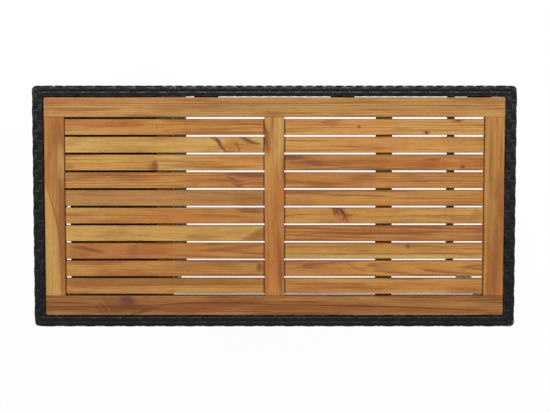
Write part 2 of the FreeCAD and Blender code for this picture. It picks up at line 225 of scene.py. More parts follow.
class AcaciaGrain(SharedGroup):
    """Growth rings round a leaning pith, colour bands, fibres and pores along a board."""

    name = "acacia_grain"
    inputs = {
        "Vector": "Vector",
        "Seed": "Float",
        "Pith Depth": "Float",
        "Pith Aside": "Float",
        "Rise": "Float",
        "Ring Width": "Float",
        "Wander": "Float",
    }
    seed_shift = (3.1, 7.3, 1.7)
    sway_counts = (3.2, 10.0, 10.0)
    sway_reach = 0.016
    slow_counts = (2.4, 13.0, 13.0)
    uneven_counts = (1.4, 55.0, 55.0)
    uneven_rings = 2.2
    late_start = 0.3
    late_peak = 0.9
    late_shown = Figure((3.0, 42.0, 42.0), 2.0, 0.38, 0.6)
    cloud_counts = (8.0, 34.0, 34.0)
    cloud_detail = 4.0
    figures = {
        "Band": Figure((1.3, 40.0, 40.0), 3.0, 0.4, 0.6),
        "Blush": Figure((2.6, 24.0, 31.0), 3.0, 0.46, 0.66),
        "Streak": Figure((4.0, 120.0, 120.0), 4.0, 0.52, 0.7),
        "Dash": Figure((15.0, 240.0, 240.0), 2.0, 0.62, 0.72),
        "Fibre": Figure((6.0, 310.0, 310.0), 3.0, 0.3, 0.7),
        "Pores": Figure((55.0, 1500.0, 1500.0), 1.0, 0.6, 0.74),
    }
    outputs = ("Late Wood", "Cloud", *figures)

    @classmethod
    def build(cls, graph: Graph, source: bpy.types.NodeOutputs) -> dict[str, bpy.types.NodeSocket]:
        """Wire the grain.

        Args:
            graph: The group's tree.
            source: The group's inputs.

        Returns:
            Masks from 0 to 1 by name.
        """
        seed = source["Seed"]
        shift = graph.join(*(graph.math("MULTIPLY", seed, share) for share in cls.seed_shift))
        along, across, up = graph.split(source["Vector"])
        sway = graph.noise(graph.vector("ADD", source["Vector"], shift), cls.sway_counts)
        sway = graph.math("SUBTRACT", sway, 0.5)
        swayed = graph.math("MULTIPLY_ADD", sway, cls.sway_reach, across)
        moved = graph.vector("ADD", graph.join(along, swayed, up), shift)
        slow = graph.math("SUBTRACT", graph.noise(moved, cls.slow_counts), 0.5)
        uneven = graph.math("SUBTRACT", graph.noise(moved, cls.uneven_counts), 0.5)
        aside = graph.math("SUBTRACT", across, source["Pith Aside"])
        rise = graph.math("MULTIPLY_ADD", along, source["Rise"], source["Pith Depth"])
        deep = graph.math("ADD", up, rise)
        squares = graph.math("MULTIPLY_ADD", aside, aside, graph.math("MULTIPLY", deep, deep))
        radius = graph.math("MULTIPLY_ADD", slow, source["Wander"], graph.math("SQRT", squares))
        turn = graph.math("DIVIDE", radius, source["Ring Width"])
        ring = graph.math("FRACT", graph.math("MULTIPLY_ADD", uneven, cls.uneven_rings, turn))
        growth = graph.fade(ring, cls.late_start, cls.late_peak)
        late = graph.math("MULTIPLY", growth, graph.fade(ring, 1.0, cls.late_peak))
        masks = {name: figure.mask(graph, moved) for name, figure in cls.figures.items()}
        masks["Late Wood"] = graph.math("MULTIPLY", late, cls.late_shown.mask(graph, moved))
        masks["Cloud"] = graph.noise(moved, cls.cloud_counts, cls.cloud_detail)
        return masks


class GrainMark(SharedGroup):
    """A knot, streak or patch at one place, and the side of its bent middle line."""

    name = "grain_mark"
    inputs = {
        "Vector": "Vector",
        "Place": "Vector",
        "Angle": "Float",
        "Length": "Float",
        "Width": "Float",
        "Bend": "Float",
        "Ragged": "Float",
    }
    ragged_counts = (45.0, 160.0, 160.0)
    core = 0.35
    outputs = ("Spot", "Side")

    @classmethod
    def build(cls, graph: Graph, source: bpy.types.NodeOutputs) -> dict[str, bpy.types.NodeSocket]:
        """Wire the mark.

        Args:
            graph: The group's tree.
            source: The group's inputs.

        Returns:
            Masks from 0 to 1 by name.
        """
        off_x, off_y, _ = graph.split(graph.vector("SUBTRACT", source["Vector"], source["Place"]))
        cosine = graph.math("COSINE", source["Angle"])
        sine = graph.math("SINE", source["Angle"])
        along = graph.math("MULTIPLY_ADD", off_x, cosine, graph.math("MULTIPLY", off_y, sine))
        square = graph.math("MULTIPLY", off_y, cosine)
        across = graph.math("SUBTRACT", square, graph.math("MULTIPLY", off_x, sine))
        sag = graph.math("MULTIPLY", graph.math("MULTIPLY", along, along), source["Bend"])
        wave = graph.math("SUBTRACT", graph.noise(source["Vector"], cls.ragged_counts), 0.5)
        bent = graph.math("SUBTRACT", across, sag)
        rough = graph.math("MULTIPLY_ADD", wave, source["Ragged"], bent)
        far = graph.math("DIVIDE", along, source["Length"])
        aside = graph.math("DIVIDE", rough, source["Width"])
        squares = graph.math("MULTIPLY_ADD", far, far, graph.math("MULTIPLY", aside, aside))
        back = graph.math("MULTIPLY", source["Width"], -1.0)
        return {
            "Spot": graph.fade(graph.math("SQRT", squares), 1.0, cls.core),
            "Side": graph.fade(rough, back, source["Width"]),
        }


class FineSurface(SharedGroup):
    """Small pebbling, broad smudges and rare scuffs of a moulded, coated or plated surface."""

    name = "fine_surface"
    inputs = {"Vector": "Vector", "Grains": "Float"}
    smudge = Figure((9.0, 9.0, 9.0), 3.0, 0.3, 0.7)
    scuff = Figure((35.0, 420.0, 160.0), 3.0, 0.66, 0.76)
    outputs = ("Pebble", "Smudge", "Scuff")

    @classmethod
    def build(cls, graph: Graph, source: bpy.types.NodeOutputs) -> dict[str, bpy.types.NodeSocket]:
        """Wire the surface.

        Args:
            graph: The group's tree.
            source: The group's inputs.

        Returns:
            Masks from 0 to 1 by name.
        """
        place = source["Vector"]
        inputs = {"Vector": place, "Scale": source["Grains"], "Detail": 2.0}
        return {
            "Pebble": graph.node("ShaderNodeTexNoise", inputs).outputs[0],
            "Smudge": cls.smudge.mask(graph, place),
            "Scuff": cls.scuff.mask(graph, place),
        }


class StrandSurface(SharedGroup):
    """Extruded ribs along a strand, its own shade and the dust that lies on it."""

    name = "strand_surface"
    inputs = {"Vector": "Vector", "Ribs": "Float"}
    fine_counts = (60.0, 9.0, 40.0)
    rib_height = 0.35
    drift_counts = (7.0, 30.0, 1.0)
    drift_share = 0.5
    dust = Figure((60.0, 60.0, 60.0), 4.0, 0.52, 0.8)
    outputs = ("Shade", "Rib", "Dust")

    @classmethod
    def build(cls, graph: Graph, source: bpy.types.NodeOutputs) -> dict[str, bpy.types.NodeSocket]:
        """Wire the strand.

        Args:
            graph: The group's tree.
            source: The group's inputs.

        Returns:
            Masks from 0 to 1 by name.
        """
        across = graph.node("ShaderNodeAttribute", attribute_name="across").outputs["Fac"]
        along = graph.node("ShaderNodeAttribute", attribute_name="along").outputs["Fac"]
        tone = graph.node("ShaderNodeAttribute", attribute_name="tone").outputs["Fac"]
        wave = graph.math("SINE", graph.math("MULTIPLY", across, source["Ribs"]))
        fine = graph.noise(graph.join(along, across, tone), cls.fine_counts, 3.0)
        drift = graph.noise(graph.join(along, tone, 0.0), cls.drift_counts, 2.0)
        own = graph.math("MULTIPLY", tone, 1.0 - cls.drift_share)
        return {
            "Shade": graph.math("MULTIPLY_ADD", drift, cls.drift_share, own),
            "Rib": graph.math("MULTIPLY_ADD", wave, cls.rib_height, fine),
            "Dust": cls.dust.mask(graph, source["Vector"]),
        }


# Finishes of the deck, the weave and the metal and plastic parts


def new_material(name: str) -> tuple[bpy.types.Material, Graph, bpy.types.Node]:
    """Start a material.

    Args:
        name: The material's name.

    Returns:
        The material, its graph and its Principled shader.
    """
    material = bpy.data.materials.new(name)
    material.use_nodes = True
    graph = Graph(material.node_tree)
    shader = material.node_tree.nodes["Principled BSDF"]
    return material, graph, shader


def wire(graph: Graph, shader: bpy.types.Node, **sockets: bpy.types.NodeSocket) -> None:
    """Wire sockets into a shader, with underscores in the names for spaces."""
    for name, socket in sockets.items():
        graph.tree.links.new(socket, shader.inputs[name.replace("_", " ")])


@dataclass(frozen=True)
class StrandFinish:
    """Black extruded strand with a soft sheen and fine ribs along it."""

    name: str = "woven_black_strand"
    dark: Colour = (13, 14, 14)
    light: Colour = (26, 27, 28)
    dust: Colour = (58, 59, 60)
    dustiness: float = 0.3
    ribs: float = 11.0
    roughness: tuple[float, float] = (0.3, 0.38)
    shine: float = 0.34
    relief: float = 0.04

    def material(self) -> bpy.types.Material:
        """Make the material.

        Returns:
            The material.
        """
        material, graph, shader = new_material(self.name)
        strand = graph.group(StrandSurface.tree(), Vector=graph.place(), Ribs=self.ribs).outputs
        colour = graph.mix(strand["Shade"], linear(self.dark), linear(self.light))
        shader.inputs["Specular IOR Level"].default_value = self.shine
        wire(
            graph,
            shader,
            Base_Color=graph.tint(colour, strand["Dust"], self.dustiness, self.dust),
            Roughness=graph.spread(strand["Rib"], *self.roughness),
            Normal=graph.bump(strand["Rib"], self.relief * MM),
        )
        return material


@dataclass(frozen=True)
class SurfaceFinish:
    """Finish of a metal or plastic part, with pebbling, smudges and scuffs."""

    name: str
    colour: Colour
    smudge: Colour
    scuff: Colour
    grains: float
    roughness: tuple[float, float]
    relief: float
    metallic: float = 0.0
    wear: float = 0.4

    def material(self) -> bpy.types.Material:
        """Make the material.

        Returns:
            The material.
        """
        material, graph, shader = new_material(self.name)
        fine = graph.group(FineSurface.tree(), Vector=graph.place(), Grains=self.grains).outputs
        body = graph.mix(fine["Smudge"], linear(self.colour), linear(self.smudge))
        shader.inputs["Metallic"].default_value = self.metallic
        wire(
            graph,
            shader,
            Base_Color=graph.tint(body, fine["Scuff"], self.wear, self.scuff),
            Roughness=graph.spread(fine["Smudge"], *self.roughness),
            Normal=graph.bump(fine["Pebble"], self.relief * MM),
        )
        return material


COATED_STEEL = SurfaceFinish(
    name="powder_coated_steel",
    colour=(30, 31, 33),
    smudge=(38, 39, 41),
    scuff=(70, 70, 72),
    grains=2200.0,
    roughness=(0.38, 0.5),
    relief=0.12,
)
ZINC = SurfaceFinish(
    name="zinc_plated_fasteners",
    colour=(168, 172, 176),
    smudge=(146, 150, 152),
    scuff=(196, 198, 200),
    grains=900.0,
    roughness=(0.28, 0.46),
    relief=0.05,
    metallic=1.0,
)
GLIDE_PLASTIC = SurfaceFinish(
    name="moulded_glide_plastic",
    colour=(27, 27, 28),
    smudge=(33, 33, 34),
    scuff=(64, 63, 61),
    grains=1500.0,
    roughness=(0.48, 0.62),
    relief=0.1,
)


@dataclass(frozen=True)
class BoardTone:
    """Colours of one sort of board: its light wood, its body, its red tinge and its late wood."""

    pale: Colour
    body: Colour
    blush: Colour
    dark: Colour


class Tone(Enum):
    """Shades that the deck's boards are sorted into."""

    STRAW = BoardTone((214, 172, 95), (202, 153, 77), (198, 140, 68), (166, 110, 52))
    GOLD = BoardTone((209, 162, 85), (197, 143, 68), (196, 128, 62), (154, 97, 44))
    AMBER = BoardTone((203, 150, 78), (189, 126, 61), (186, 111, 56), (142, 84, 40))
    RUSSET = BoardTone((197, 140, 73), (182, 113, 56), (172, 98, 50), (130, 75, 39))
    TAN = BoardTone((199, 152, 90), (187, 134, 74), (190, 122, 71), (146, 95, 49))
    UMBER = BoardTone((178, 123, 63), (157, 98, 48), (148, 84, 43), (110, 64, 36))


@dataclass(frozen=True)
class PithRange:
    """Place, lean and waves of a board's pith, in millimetres, and how strongly its grain shows."""

    depth: tuple[float, float]
    aside: tuple[float, float]
    rise: tuple[float, float]
    wander: tuple[float, float]
    figure: float
    streak: float


class Cut(Enum):
    """Ways that a board was sawn from its log."""

    QUARTER = PithRange((5, 20), (90, 140), (-0.012, 0.012), (5, 8), 0.64, 0.74)
    RIFT = PithRange((30, 55), (40, 75), (-0.03, 0.03), (6, 10), 0.76, 0.74)
    FLAT = PithRange((22, 45), (0, 12), (-0.07, 0.07), (7, 12), 0.78, 0.55)
    CALM = PithRange((30, 55), (40, 75), (-0.02, 0.02), (6, 10), 0.28, 0.38)


class Stain(Enum):
    """Colours of the marks in the wood."""

    KNOT = (84, 56, 42)
    UMBER = (112, 60, 28)
    PURPLE = (122, 72, 56)
    BROWN = (140, 88, 48)
    RED = (164, 96, 54)
    ORANGE = (190, 122, 64)
    GOLD = (200, 155, 82)
    HONEY = (218, 156, 88)
    STRAW = (208, 170, 100)
    CREAM = (226, 190, 118)


class Part(Enum):
    """The part of a grain mark that takes the stain."""

    SPOT = "Spot"
    SIDE = "Side"


@dataclass(frozen=True)
class Mark:
    """A knot, streak or change of wood, in millimetres from the table's middle and in degrees."""

    x: float
    y: float
    half_length: float
    half_width: float
    stain: Stain
    angle: float = 0.0
    bend: float = 0.0
    strength: float = 0.7
    ragged: float = 4.0
    part: Part = Part.SPOT

    def mask(self, graph: Graph, place: bpy.types.NodeSocket) -> bpy.types.NodeSocket:
        """Place the mark in a board's material.

        Args:
            graph: The material's graph.
            place: The place on the table, in metres.

        Returns:
            How much of the stain shows, from 0 to 1.
        """
        node = graph.group(
            GrainMark.tree(),
            Vector=place,
            Place=(self.x * MM, self.y * MM, 0.0),
            Angle=math.radians(self.angle),
            Length=self.half_length * MM,
            Width=self.half_width * MM,
            Bend=self.bend,
            Ragged=self.ragged * MM,
        )
        return graph.math("MULTIPLY", node.outputs[self.part.value], self.strength)


@dataclass(frozen=True)
class Board:
    """One board of the deck, with the way its wood grew, in millimetres."""

    node: str
    tone: Tone
    cut: Cut
    pith_depth: float
    pith_aside: float
    rise: float
    ring: float
    wander: float
    lengthwise_y: bool = False
    shoulders: bool = False
    hidden: bool = False
    marks: tuple[Mark, ...] = ()


@dataclass(frozen=True)
class AcaciaFinish:
    """Oiled acacia: shares of its figure from 0 to 1, and its edges and relief in millimetres;
    shade is painted on the slats' ends beside the stiles and on the boards' eased edges and sides.
    """

    pore: Colour = (104, 62, 36)
    # Dark brown of the painted shade at the slats' ends, on eased edges and on board sides
    painted_shade: Colour = (80, 36, 19)
    blush: float = 0.9
    cloud: tuple[float, float, float] = (0.3, 0.5, 0.7)
    glow: float = 0.85
    dusk: float = 0.6
    dash: float = 0.42
    fibre: float = 0.16
    pores: float = 0.35
    # Painted shade at the slat ends beside the stiles: its share, and where it starts and is full,
    # in millimetres in from the slat's end
    shoulder_shade: float = 0.7
    shoulder_shade_reach: tuple[float, float] = (1.8, 0.4)
    # Painted shade on the boards' eased long edges and sides: the edges' share and width in
    # millimetres, the share of all of it, and the depths in millimetres below the deck's top where
    # the sides' shade starts and is full
    edge_shade: float = 0.72
    edge_shade_width: float = 2.2
    side: float = 0.7
    side_shade_depth: tuple[float, float] = (-1.0, -3.0)
    roughness: tuple[float, float] = (0.5, 0.64)
    shine: float = 0.15
    relief: float = 0.12

    def wood(
        self, graph: Graph, board: Board, grain: bpy.types.NodeOutputs, place: Wire
    ) -> bpy.types.NodeSocket:
        """Lay the board's bands, clouds, marks, late wood and streaks over each other.

        Args:
            graph: The material's graph.
            board: The board.
            grain: The masks of its grain.
            place: The place on the table, in metres.

        Returns:
            The colour of the planed wood.
        """
        tone = board.tone.value
        cut = board.cut.value
        bright, even, dim = self.cloud
        colour = graph.mix(grain["Band"], linear(tone.pale), linear(tone.body))
        colour = graph.tint(colour, grain["Blush"], self.blush, tone.blush)
        colour = graph.tint(colour, graph.fade(grain["Cloud"], even, bright), self.glow, tone.pale)
        colour = graph.tint(colour, graph.fade(grain["Cloud"], even, dim), self.dusk, tone.dark)
        for mark in board.marks:
            colour = graph.mix(mark.mask(graph, place), colour, linear(mark.stain.value))
        colour = graph.tint(colour, grain["Late Wood"], cut.figure, tone.dark)
        colour = graph.tint(colour, grain["Streak"], cut.streak, tone.dark)
        return graph.tint(colour, grain["Dash"], self.dash, self.pore)

    def painted_end_shade(self, graph: Graph, colour: Wire, place: Wire) -> bpy.types.NodeSocket:
        """Paint shade on a slat's top at its ends beside the stiles.

        Args:
            graph: The material's graph.
            colour: The wood's colour.
            place: The place on the table, in metres.

        Returns:
            The colour with painted shade at its ends.
        """
        near, far = SHOULDERS
        start, full = (reach * MM for reach in self.shoulder_shade_reach)
        reach = graph.math("ABSOLUTE", graph.split(place)[0])
        outer = graph.fade(reach, far - start, far - full)
        inner = graph.fade(reach, near + start, near + full)
        ends = graph.math("MAXIMUM", outer, inner)
        return graph.tint(colour, ends, self.shoulder_shade, self.painted_shade)

    def painted_side_shade(
        self, graph: Graph, colour: Wire, across: Wire, up: Wire, half_width: float
    ) -> bpy.types.NodeSocket:
        """Paint shade on a board's eased long edges and on its sides.

        Args:
            graph: The material's graph.
            colour: The wood's colour.
            across: The place across the board, in metres from its middle.
            up: The height, in metres from the deck's top.
            half_width: Half the board's width, in metres.

        Returns:
            The colour with painted shade on its edges and sides.
        """
        start = half_width - self.edge_shade_width * MM
        edge_shade = graph.fade(graph.math("ABSOLUTE", across), start, half_width)
        side = graph.fade(up, *(depth * MM for depth in self.side_shade_depth))
        dark = graph.math("MAXIMUM", graph.math("MULTIPLY", edge_shade, self.edge_shade), side)
        return graph.tint(colour, dark, self.side, self.painted_shade)

    def material(self, board: Board, seed: float) -> bpy.types.Material:
        """Make one board's material.

        Args:
            board: The board.
            seed: A number that sets its grain apart from the others.

        Returns:
            The material.
        """
        material, graph, shader = new_material(f"acacia_{board.node}")
        place = graph.place()
        low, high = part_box(board.node)
        middle = ((low.x + high.x) / 2, (low.y + high.y) / 2, DECK_TOP)
        half_width = (high.x - low.x) / 2
        across, along, up = graph.split(graph.vector("SUBTRACT", place, middle))
        if not board.lengthwise_y:
            across, along = along, across
            half_width = (high.y - low.y) / 2
        grain = graph.group(
            AcaciaGrain.tree(),
            Vector=graph.join(along, across, up),
            Seed=seed,
            Pith_Depth=board.pith_depth * MM,
            Pith_Aside=board.pith_aside * MM,
            Rise=board.rise,
            Ring_Width=board.ring * MM,
            Wander=board.wander * MM,
        ).outputs
        colour = self.wood(graph, board, grain, place)
        # Painted shade on the slat ends beside the stiles
        if board.shoulders:
            colour = self.painted_end_shade(graph, colour, place)
        # Painted shade on the eased edges and sides, left off the battens
        if not board.hidden:
            colour = self.painted_side_shade(graph, colour, across, up, half_width)
        colour = graph.tint(colour, grain["Fibre"], self.fibre, board.tone.value.dark)
        relief = graph.math("SUBTRACT", grain["Fibre"], grain["Pores"])
        shader.inputs["Specular IOR Level"].default_value = self.shine
        wire(
            graph,
            shader,
            Base_Color=graph.tint(colour, grain["Pores"], self.pores, self.pore),
            Roughness=graph.spread(grain["Fibre"], *self.roughness),
            Normal=graph.bump(relief, self.relief * MM),
        )
        return material


# Strands and the ways they are woven


@dataclass(frozen=True)
class StrandCut:
    """Cross-section of a flat strand with rounded edges, in millimetres."""

    width: float
    thickness: float
    corners: int = 8
    squareness: float = 0.8

    def outline(self) -> np.ndarray:
        """Give the closed outline.

        Returns:
            Across and outward places in metres, one row to a corner.
        """
        turn = np.arange(self.corners) / self.corners * 2 * math.pi
        cosine = np.cos(turn)
        sine = np.sin(turn)
        across = np.sign(cosine) * np.abs(cosine) ** self.squareness * self.width / 2
        out = sine * self.thickness / 2
        return np.stack([across, out], 1) * MM


class RoundedLine:
    """A line through corner points in a plane, with its corners rounded, in millimetres."""

    arc_points = 9
    look = 0.4

    def __init__(self, corners: Sequence[Sequence[float]], radius: float, closed: bool) -> None:
        """Round the corners.

        Args:
            corners: The corner points, in millimetres, with the outside on the right of the line.
            radius: Radius of the corners.
            closed: True for a loop, which starts at the middle of its first run.
        """
        points = [np.array(corner, float) for corner in corners]
        if closed:
            middle = (points[0] + points[1]) / 2
            points = [middle, *points[1:], points[0], middle]
        line = [points[0]]
        for before, corner, after in zip(points, points[1:], points[2:]):
            inward = (before - corner) / np.linalg.norm(before - corner)
            onward = (after - corner) / np.linalg.norm(after - corner)
            centre = corner + (inward + onward) * radius
            for step in np.linspace(0, math.pi / 2, self.arc_points):
                back = onward * radius * math.cos(step)
                line.append(centre - back - inward * radius * math.sin(step))
        line.append(points[-1])
        self.points = np.array(line)
        runs = np.linalg.norm(np.diff(self.points, axis=0), axis=1)
        self.reach = np.concatenate([[0.0], np.cumsum(runs)])
        self.length = float(self.reach[-1])

    def spots(self, distance: np.ndarray) -> np.ndarray:
        """Give the points at distances along the line."""
        return np.stack([np.interp(distance, self.reach, part) for part in self.points.T], -1)

    def at(self, distance: np.ndarray) -> tuple[np.ndarray, np.ndarray]:
        """Find places along the line.

        Args:
            distance: How far along the line, in millimetres.

        Returns:
            The points and the outward normals.
        """
        ahead = np.clip(np.asarray(distance) + self.look, 0, self.length)
        behind = np.clip(np.asarray(distance) - self.look, 0, self.length)
        run = self.spots(ahead) - self.spots(behind)
        run = run / np.linalg.norm(run, axis=-1, keepdims=True)
        return self.spots(distance), np.stack([run[..., 1], -run[..., 0]], -1)


def rectangle(half_x: float, half_y: float, radius: float) -> RoundedLine:
    """Give a rounded rectangle about the origin, from the middle of its lower side."""
    corners = [(-half_x, -half_y), (half_x, -half_y), (half_x, half_y), (-half_x, half_y)]
    return RoundedLine(corners, radius, True)


class StrandMesh:
    """Collects swept strands and makes one mesh object of them."""

    start_reach = 5.0

    def __init__(self, name: str, seed: int) -> None:
        """Start empty.

        Args:
            name: Name of the object.
            seed: Sets the strands' shades and where their ribs begin.
        """
        self.name = name
        self.random = np.random.default_rng(seed)
        self.count = 0
        self.vertices: list[np.ndarray] = []
        self.faces: list[list[int]] = []
        self.marks: dict[str, list[np.ndarray]] = {"along": [], "across": [], "tone": []}

    def sweep(
        self, points: np.ndarray, normals: np.ndarray, cut: StrandCut, closed: bool = False
    ) -> None:
        """Add one strand.

        Args:
            points: The strand's middle line, in millimetres.
            normals: The outward direction at each point.
            cut: The strand's cross-section.
            closed: True where the strand meets its own start.
        """
        points = points * MM
        if closed:
            run = np.roll(points, -1, 0) - np.roll(points, 1, 0)
        else:
            run = np.gradient(points, axis=0)
        run /= np.linalg.norm(run, axis=1, keepdims=True)
        side = np.cross(run, normals)
        side /= np.linalg.norm(side, axis=1, keepdims=True)
        out = np.cross(side, run)
        outline = cut.outline()
        wide = outline[None, :, :1] * side[:, None]
        thick = outline[None, :, 1:] * out[:, None]
        rings = points[:, None] + wide + thick
        rows, corners = rings.shape[:2]
        index = self.count + np.arange(rows * corners).reshape(rows, corners)
        first = index if closed else index[:-1]
        second = np.roll(index, -1, 0) if closed else index[1:]
        quads = np.stack([first, second, np.roll(second, -1, 1), np.roll(first, -1, 1)], -1)
        self.faces.extend(quads.reshape(-1, 4).tolist())
        if not closed:
            self.faces.append(index[0].tolist())
            self.faces.append(index[-1][::-1].tolist())
        self.vertices.append(rings.reshape(-1, 3))
        self.count += rows * corners
        steps = np.linalg.norm(np.diff(points, axis=0), axis=1)
        start = self.random.uniform(0, self.start_reach)
        reach = np.concatenate([[0.0], np.cumsum(steps)]) + start
        self.marks["along"].append(np.repeat(reach, corners))
        self.marks["across"].append(np.tile(outline[:, 0] / (cut.width * MM / 2), rows))
        self.marks["tone"].append(np.full(rows * corners, self.random.uniform(0, 1)))

    def piece(self, material: bpy.types.Material, *nodes: str) -> None:
        """Make the object and let it stand for its CAD nodes.

        Args:
            material: The strand's material.
            nodes: The CAD nodes that it replaces.
        """
        mesh = bpy.data.meshes.new(self.name)
        mesh.from_pydata(np.concatenate(self.vertices).tolist(), [], self.faces)
        for name, values in self.marks.items():
            layer = mesh.attributes.new(name, "FLOAT", "POINT")
            layer.data.foreach_set("value", np.concatenate(values).astype(np.float32))
        mesh.polygons.foreach_set("use_smooth", [True] * len(mesh.polygons))
        mesh.materials.append(material)
        piece = bpy.data.objects.new(self.name, mesh)
        bpy.context.scene.collection.objects.link(piece)
        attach(piece, "root")
        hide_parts(*nodes)
        log.info("%s: %d faces, in place of %s", self.name, len(mesh.polygons), ", ".join(nodes))


@dataclass(frozen=True)
class Weave:
    """A plain weave of strands over cross strands, in millimetres."""

    strand: StrandCut = StrandCut(10.8, 1.6)
    cross: StrandCut = StrandCut(9.6, 1.3)
    pitch: float = 25.0
    lift: float = 0.72
    inset: float = 1.6

    def wave(self, index: np.ndarray, row: int) -> np.ndarray:
        """Give a strand's height where it passes the numbered strands that cross it."""
        return self.lift * (-1) ** row * np.cos(math.pi * np.asarray(index))


def crossings(count: int, steps: int) -> np.ndarray:
    """Number a strand's places, from half a crossing before the first to half after the last."""
    return np.arange(count * steps + 1) / steps - 0.5


def span(node: str) -> tuple[np.ndarray, np.ndarray]:
    """Give a CAD node's lowest and highest corners, in millimetres."""
    low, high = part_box(node)
    return np.array(low) / MM, np.array(high) / MM


@dataclass
class TubeSleeve:
    """Weave round a square tube along Y or Z, between the middles of its ends, in millimetres."""

    start: tuple[float, float, float]
    end: tuple[float, float, float]
    side: float
    corner: float = 3.0
    rows: int = 8
    steps: int = 4

    def build(self, mesh: StrandMesh, weave: Weave) -> None:
        """Lay the strands along the tube and the cross strands round it.

        Args:
            mesh: The mesh that takes the strands.
            weave: How they are woven.
        """
        start = np.array(self.start)
        run = np.array(self.end) - start
        length = float(np.linalg.norm(run))
        run /= length
        first = np.array((1.0, 0.0, 0.0))
        second = np.cross(run, first)
        half = self.side / 2 - weave.inset
        loop = rectangle(half, half, self.corner)
        pitch = loop.length / self.rows
        wraps = max(2, round(length / weave.pitch))
        index = crossings(wraps, self.steps)
        reach = (index + 0.5) * length / wraps
        for row in range(self.rows):
            spot, normal = loop.at(np.array((row + 0.5) * pitch))
            out = normal[0] * first + normal[1] * second
            line = start + reach[:, None] * run + spot[0] * first + spot[1] * second
            line = line + weave.wave(index, row)[:, None] * out
            mesh.sweep(line, np.tile(out, (len(line), 1)), weave.strand)
        round_index = np.arange(self.rows * self.steps) / self.steps
        spots, normals = loop.at(round_index * pitch)
        out = normals[:, :1] * first + normals[:, 1:] * second
        ring = spots[:, :1] * first + spots[:, 1:] * second
        for wrap in range(wraps):
            middle = start + run * (wrap + 0.5) * length / wraps
            height = -weave.wave(round_index - 0.5, wrap)
            mesh.sweep(middle + ring + height[:, None] * out, out, weave.cross, True)


@dataclass
class Rim:
    """Woven rim round the deck, with a diagonal wrap at each corner, in millimetres."""

    node: str = "rim_weave"
    width: float = 26.0
    corner: float = 3.0
    rows: int = 12
    long_wraps: int = 46
    short_wraps: int = 22
    turn_radius: float = 7.0
    turn_growth: float = 0.4
    proud: float = 2.0
    seed: int = 11
    steps: int = 4
    corner_steps: int = 8
    cross_steps: int = 3

    @property
    def wraps(self) -> int:
        """Count the wraps round the table, with one at each corner."""
        return 2 * (self.long_wraps + self.short_wraps) + 4

    def radius(self, offset: float) -> float:
        """Give the radius of a line's corners at a distance outside the rim's middle."""
        return self.turn_radius + self.turn_growth * offset

    def path(self, offset: float, half_x: float, half_y: float) -> RoundedLine:
        """Give the line round the table at a distance outside the rim's middle."""
        return rectangle(half_x + offset, half_y + offset, self.radius(offset))

    def reach(
        self, index: np.ndarray, path: RoundedLine, offset: float, weave: Weave
    ) -> np.ndarray:
        """Find how far along a line the numbered wraps lie.

        Args:
            index: Numbers of wraps, counted from the first on the front side.
            path: The line round the table.
            offset: The line's distance outside the rim's middle.
            weave: How the strands are woven.

        Returns:
            Distances along the line.
        """
        eased = self.radius(offset) * (1 - math.pi / 4)
        half = [path.points[:, part].max() - eased for part in (0, 1)]
        wraps = (self.long_wraps, self.short_wraps)
        knots = [-1.0]
        places = [-half[0]]
        number = 0
        for side in range(4):
            middle = side * sum(half)
            count = wraps[side % 2]
            last = (count - 1) / 2 * weave.pitch
            knots += [number, number + count - 1, number + count]
            places += [middle - last, middle + last, middle + half[side % 2]]
            number += count + 1
        return np.mod(np.interp(index, knots, places), path.length)

    def samples(self) -> np.ndarray:
        """Give the places along a strand, finer beside the corners.

        Returns:
            Numbers of wraps, with parts of a wrap between them.
        """
        corners = set()
        number = -1
        for side in range(5):
            corners.add(number)
            number += (self.long_wraps, self.short_wraps)[side % 2] + 1
        parts = []
        for number in range(-1, self.wraps - 1):
            steps = self.corner_steps if corners & {number, number + 1} else self.steps
            parts.append(number + np.arange(steps) / steps)
        return np.concatenate(parts)

    def lay(
        self, index: np.ndarray, spot: tuple[np.ndarray, np.ndarray], weave: Weave
    ) -> tuple[np.ndarray, np.ndarray]:
        """Follow the table round at one place on the rim's section.

        Args:
            index: Numbers of wraps, counted from the first on the front side.
            spot: The place on the section and the outward direction there.
            weave: How the strands are woven.

        Returns:
            The points and their outward directions.
        """
        (offset, rise), (aside, up) = spot
        low, high = span(self.node)
        half_x, half_y = high[:2] - (self.width - self.proud) / 2
        path = self.path(offset, half_x, half_y)
        plan, out = path.at(self.reach(index, path, offset, weave))
        level = np.full(len(plan), (low[2] + high[2]) / 2 + rise)
        normals = np.column_stack([aside * out, np.full(len(out), up)])
        return np.column_stack([plan, level]), normals

    def build(self, material: bpy.types.Material, weave: Weave) -> None:
        """Weave the rim.

        Args:
            material: The strand's material.
            weave: How it is woven.
        """
        mesh = StrandMesh("rim_wicker", self.seed)
        low, high = span(self.node)
        half_width = (self.width + self.proud) / 2 - weave.inset
        half_height = (high[2] - low[2]) / 2 - weave.inset
        section = rectangle(half_width, half_height, self.corner)
        pitch = section.length / self.rows
        index = self.samples()
        for row in range(self.rows):
            line, normals = self.lay(index, section.at(np.array((row + 0.5) * pitch)), weave)
            height = weave.wave(index, row)
            mesh.sweep(line + height[:, None] * normals, normals, weave.strand, True)
        wraps = np.arange(self.wraps)
        round_index = np.arange(self.rows * self.cross_steps) / self.cross_steps
        laid = [self.lay(wraps, section.at(np.array(spot * pitch)), weave) for spot in round_index]
        for wrap in wraps:
            ring = np.array([line[wrap] for line, _ in laid])
            out = np.array([normals[wrap] for _, normals in laid])
            height = -weave.wave(round_index - 0.5, wrap)
            mesh.sweep(ring + height[:, None] * out, out, weave.cross, True)
        mesh.piece(material, self.node)


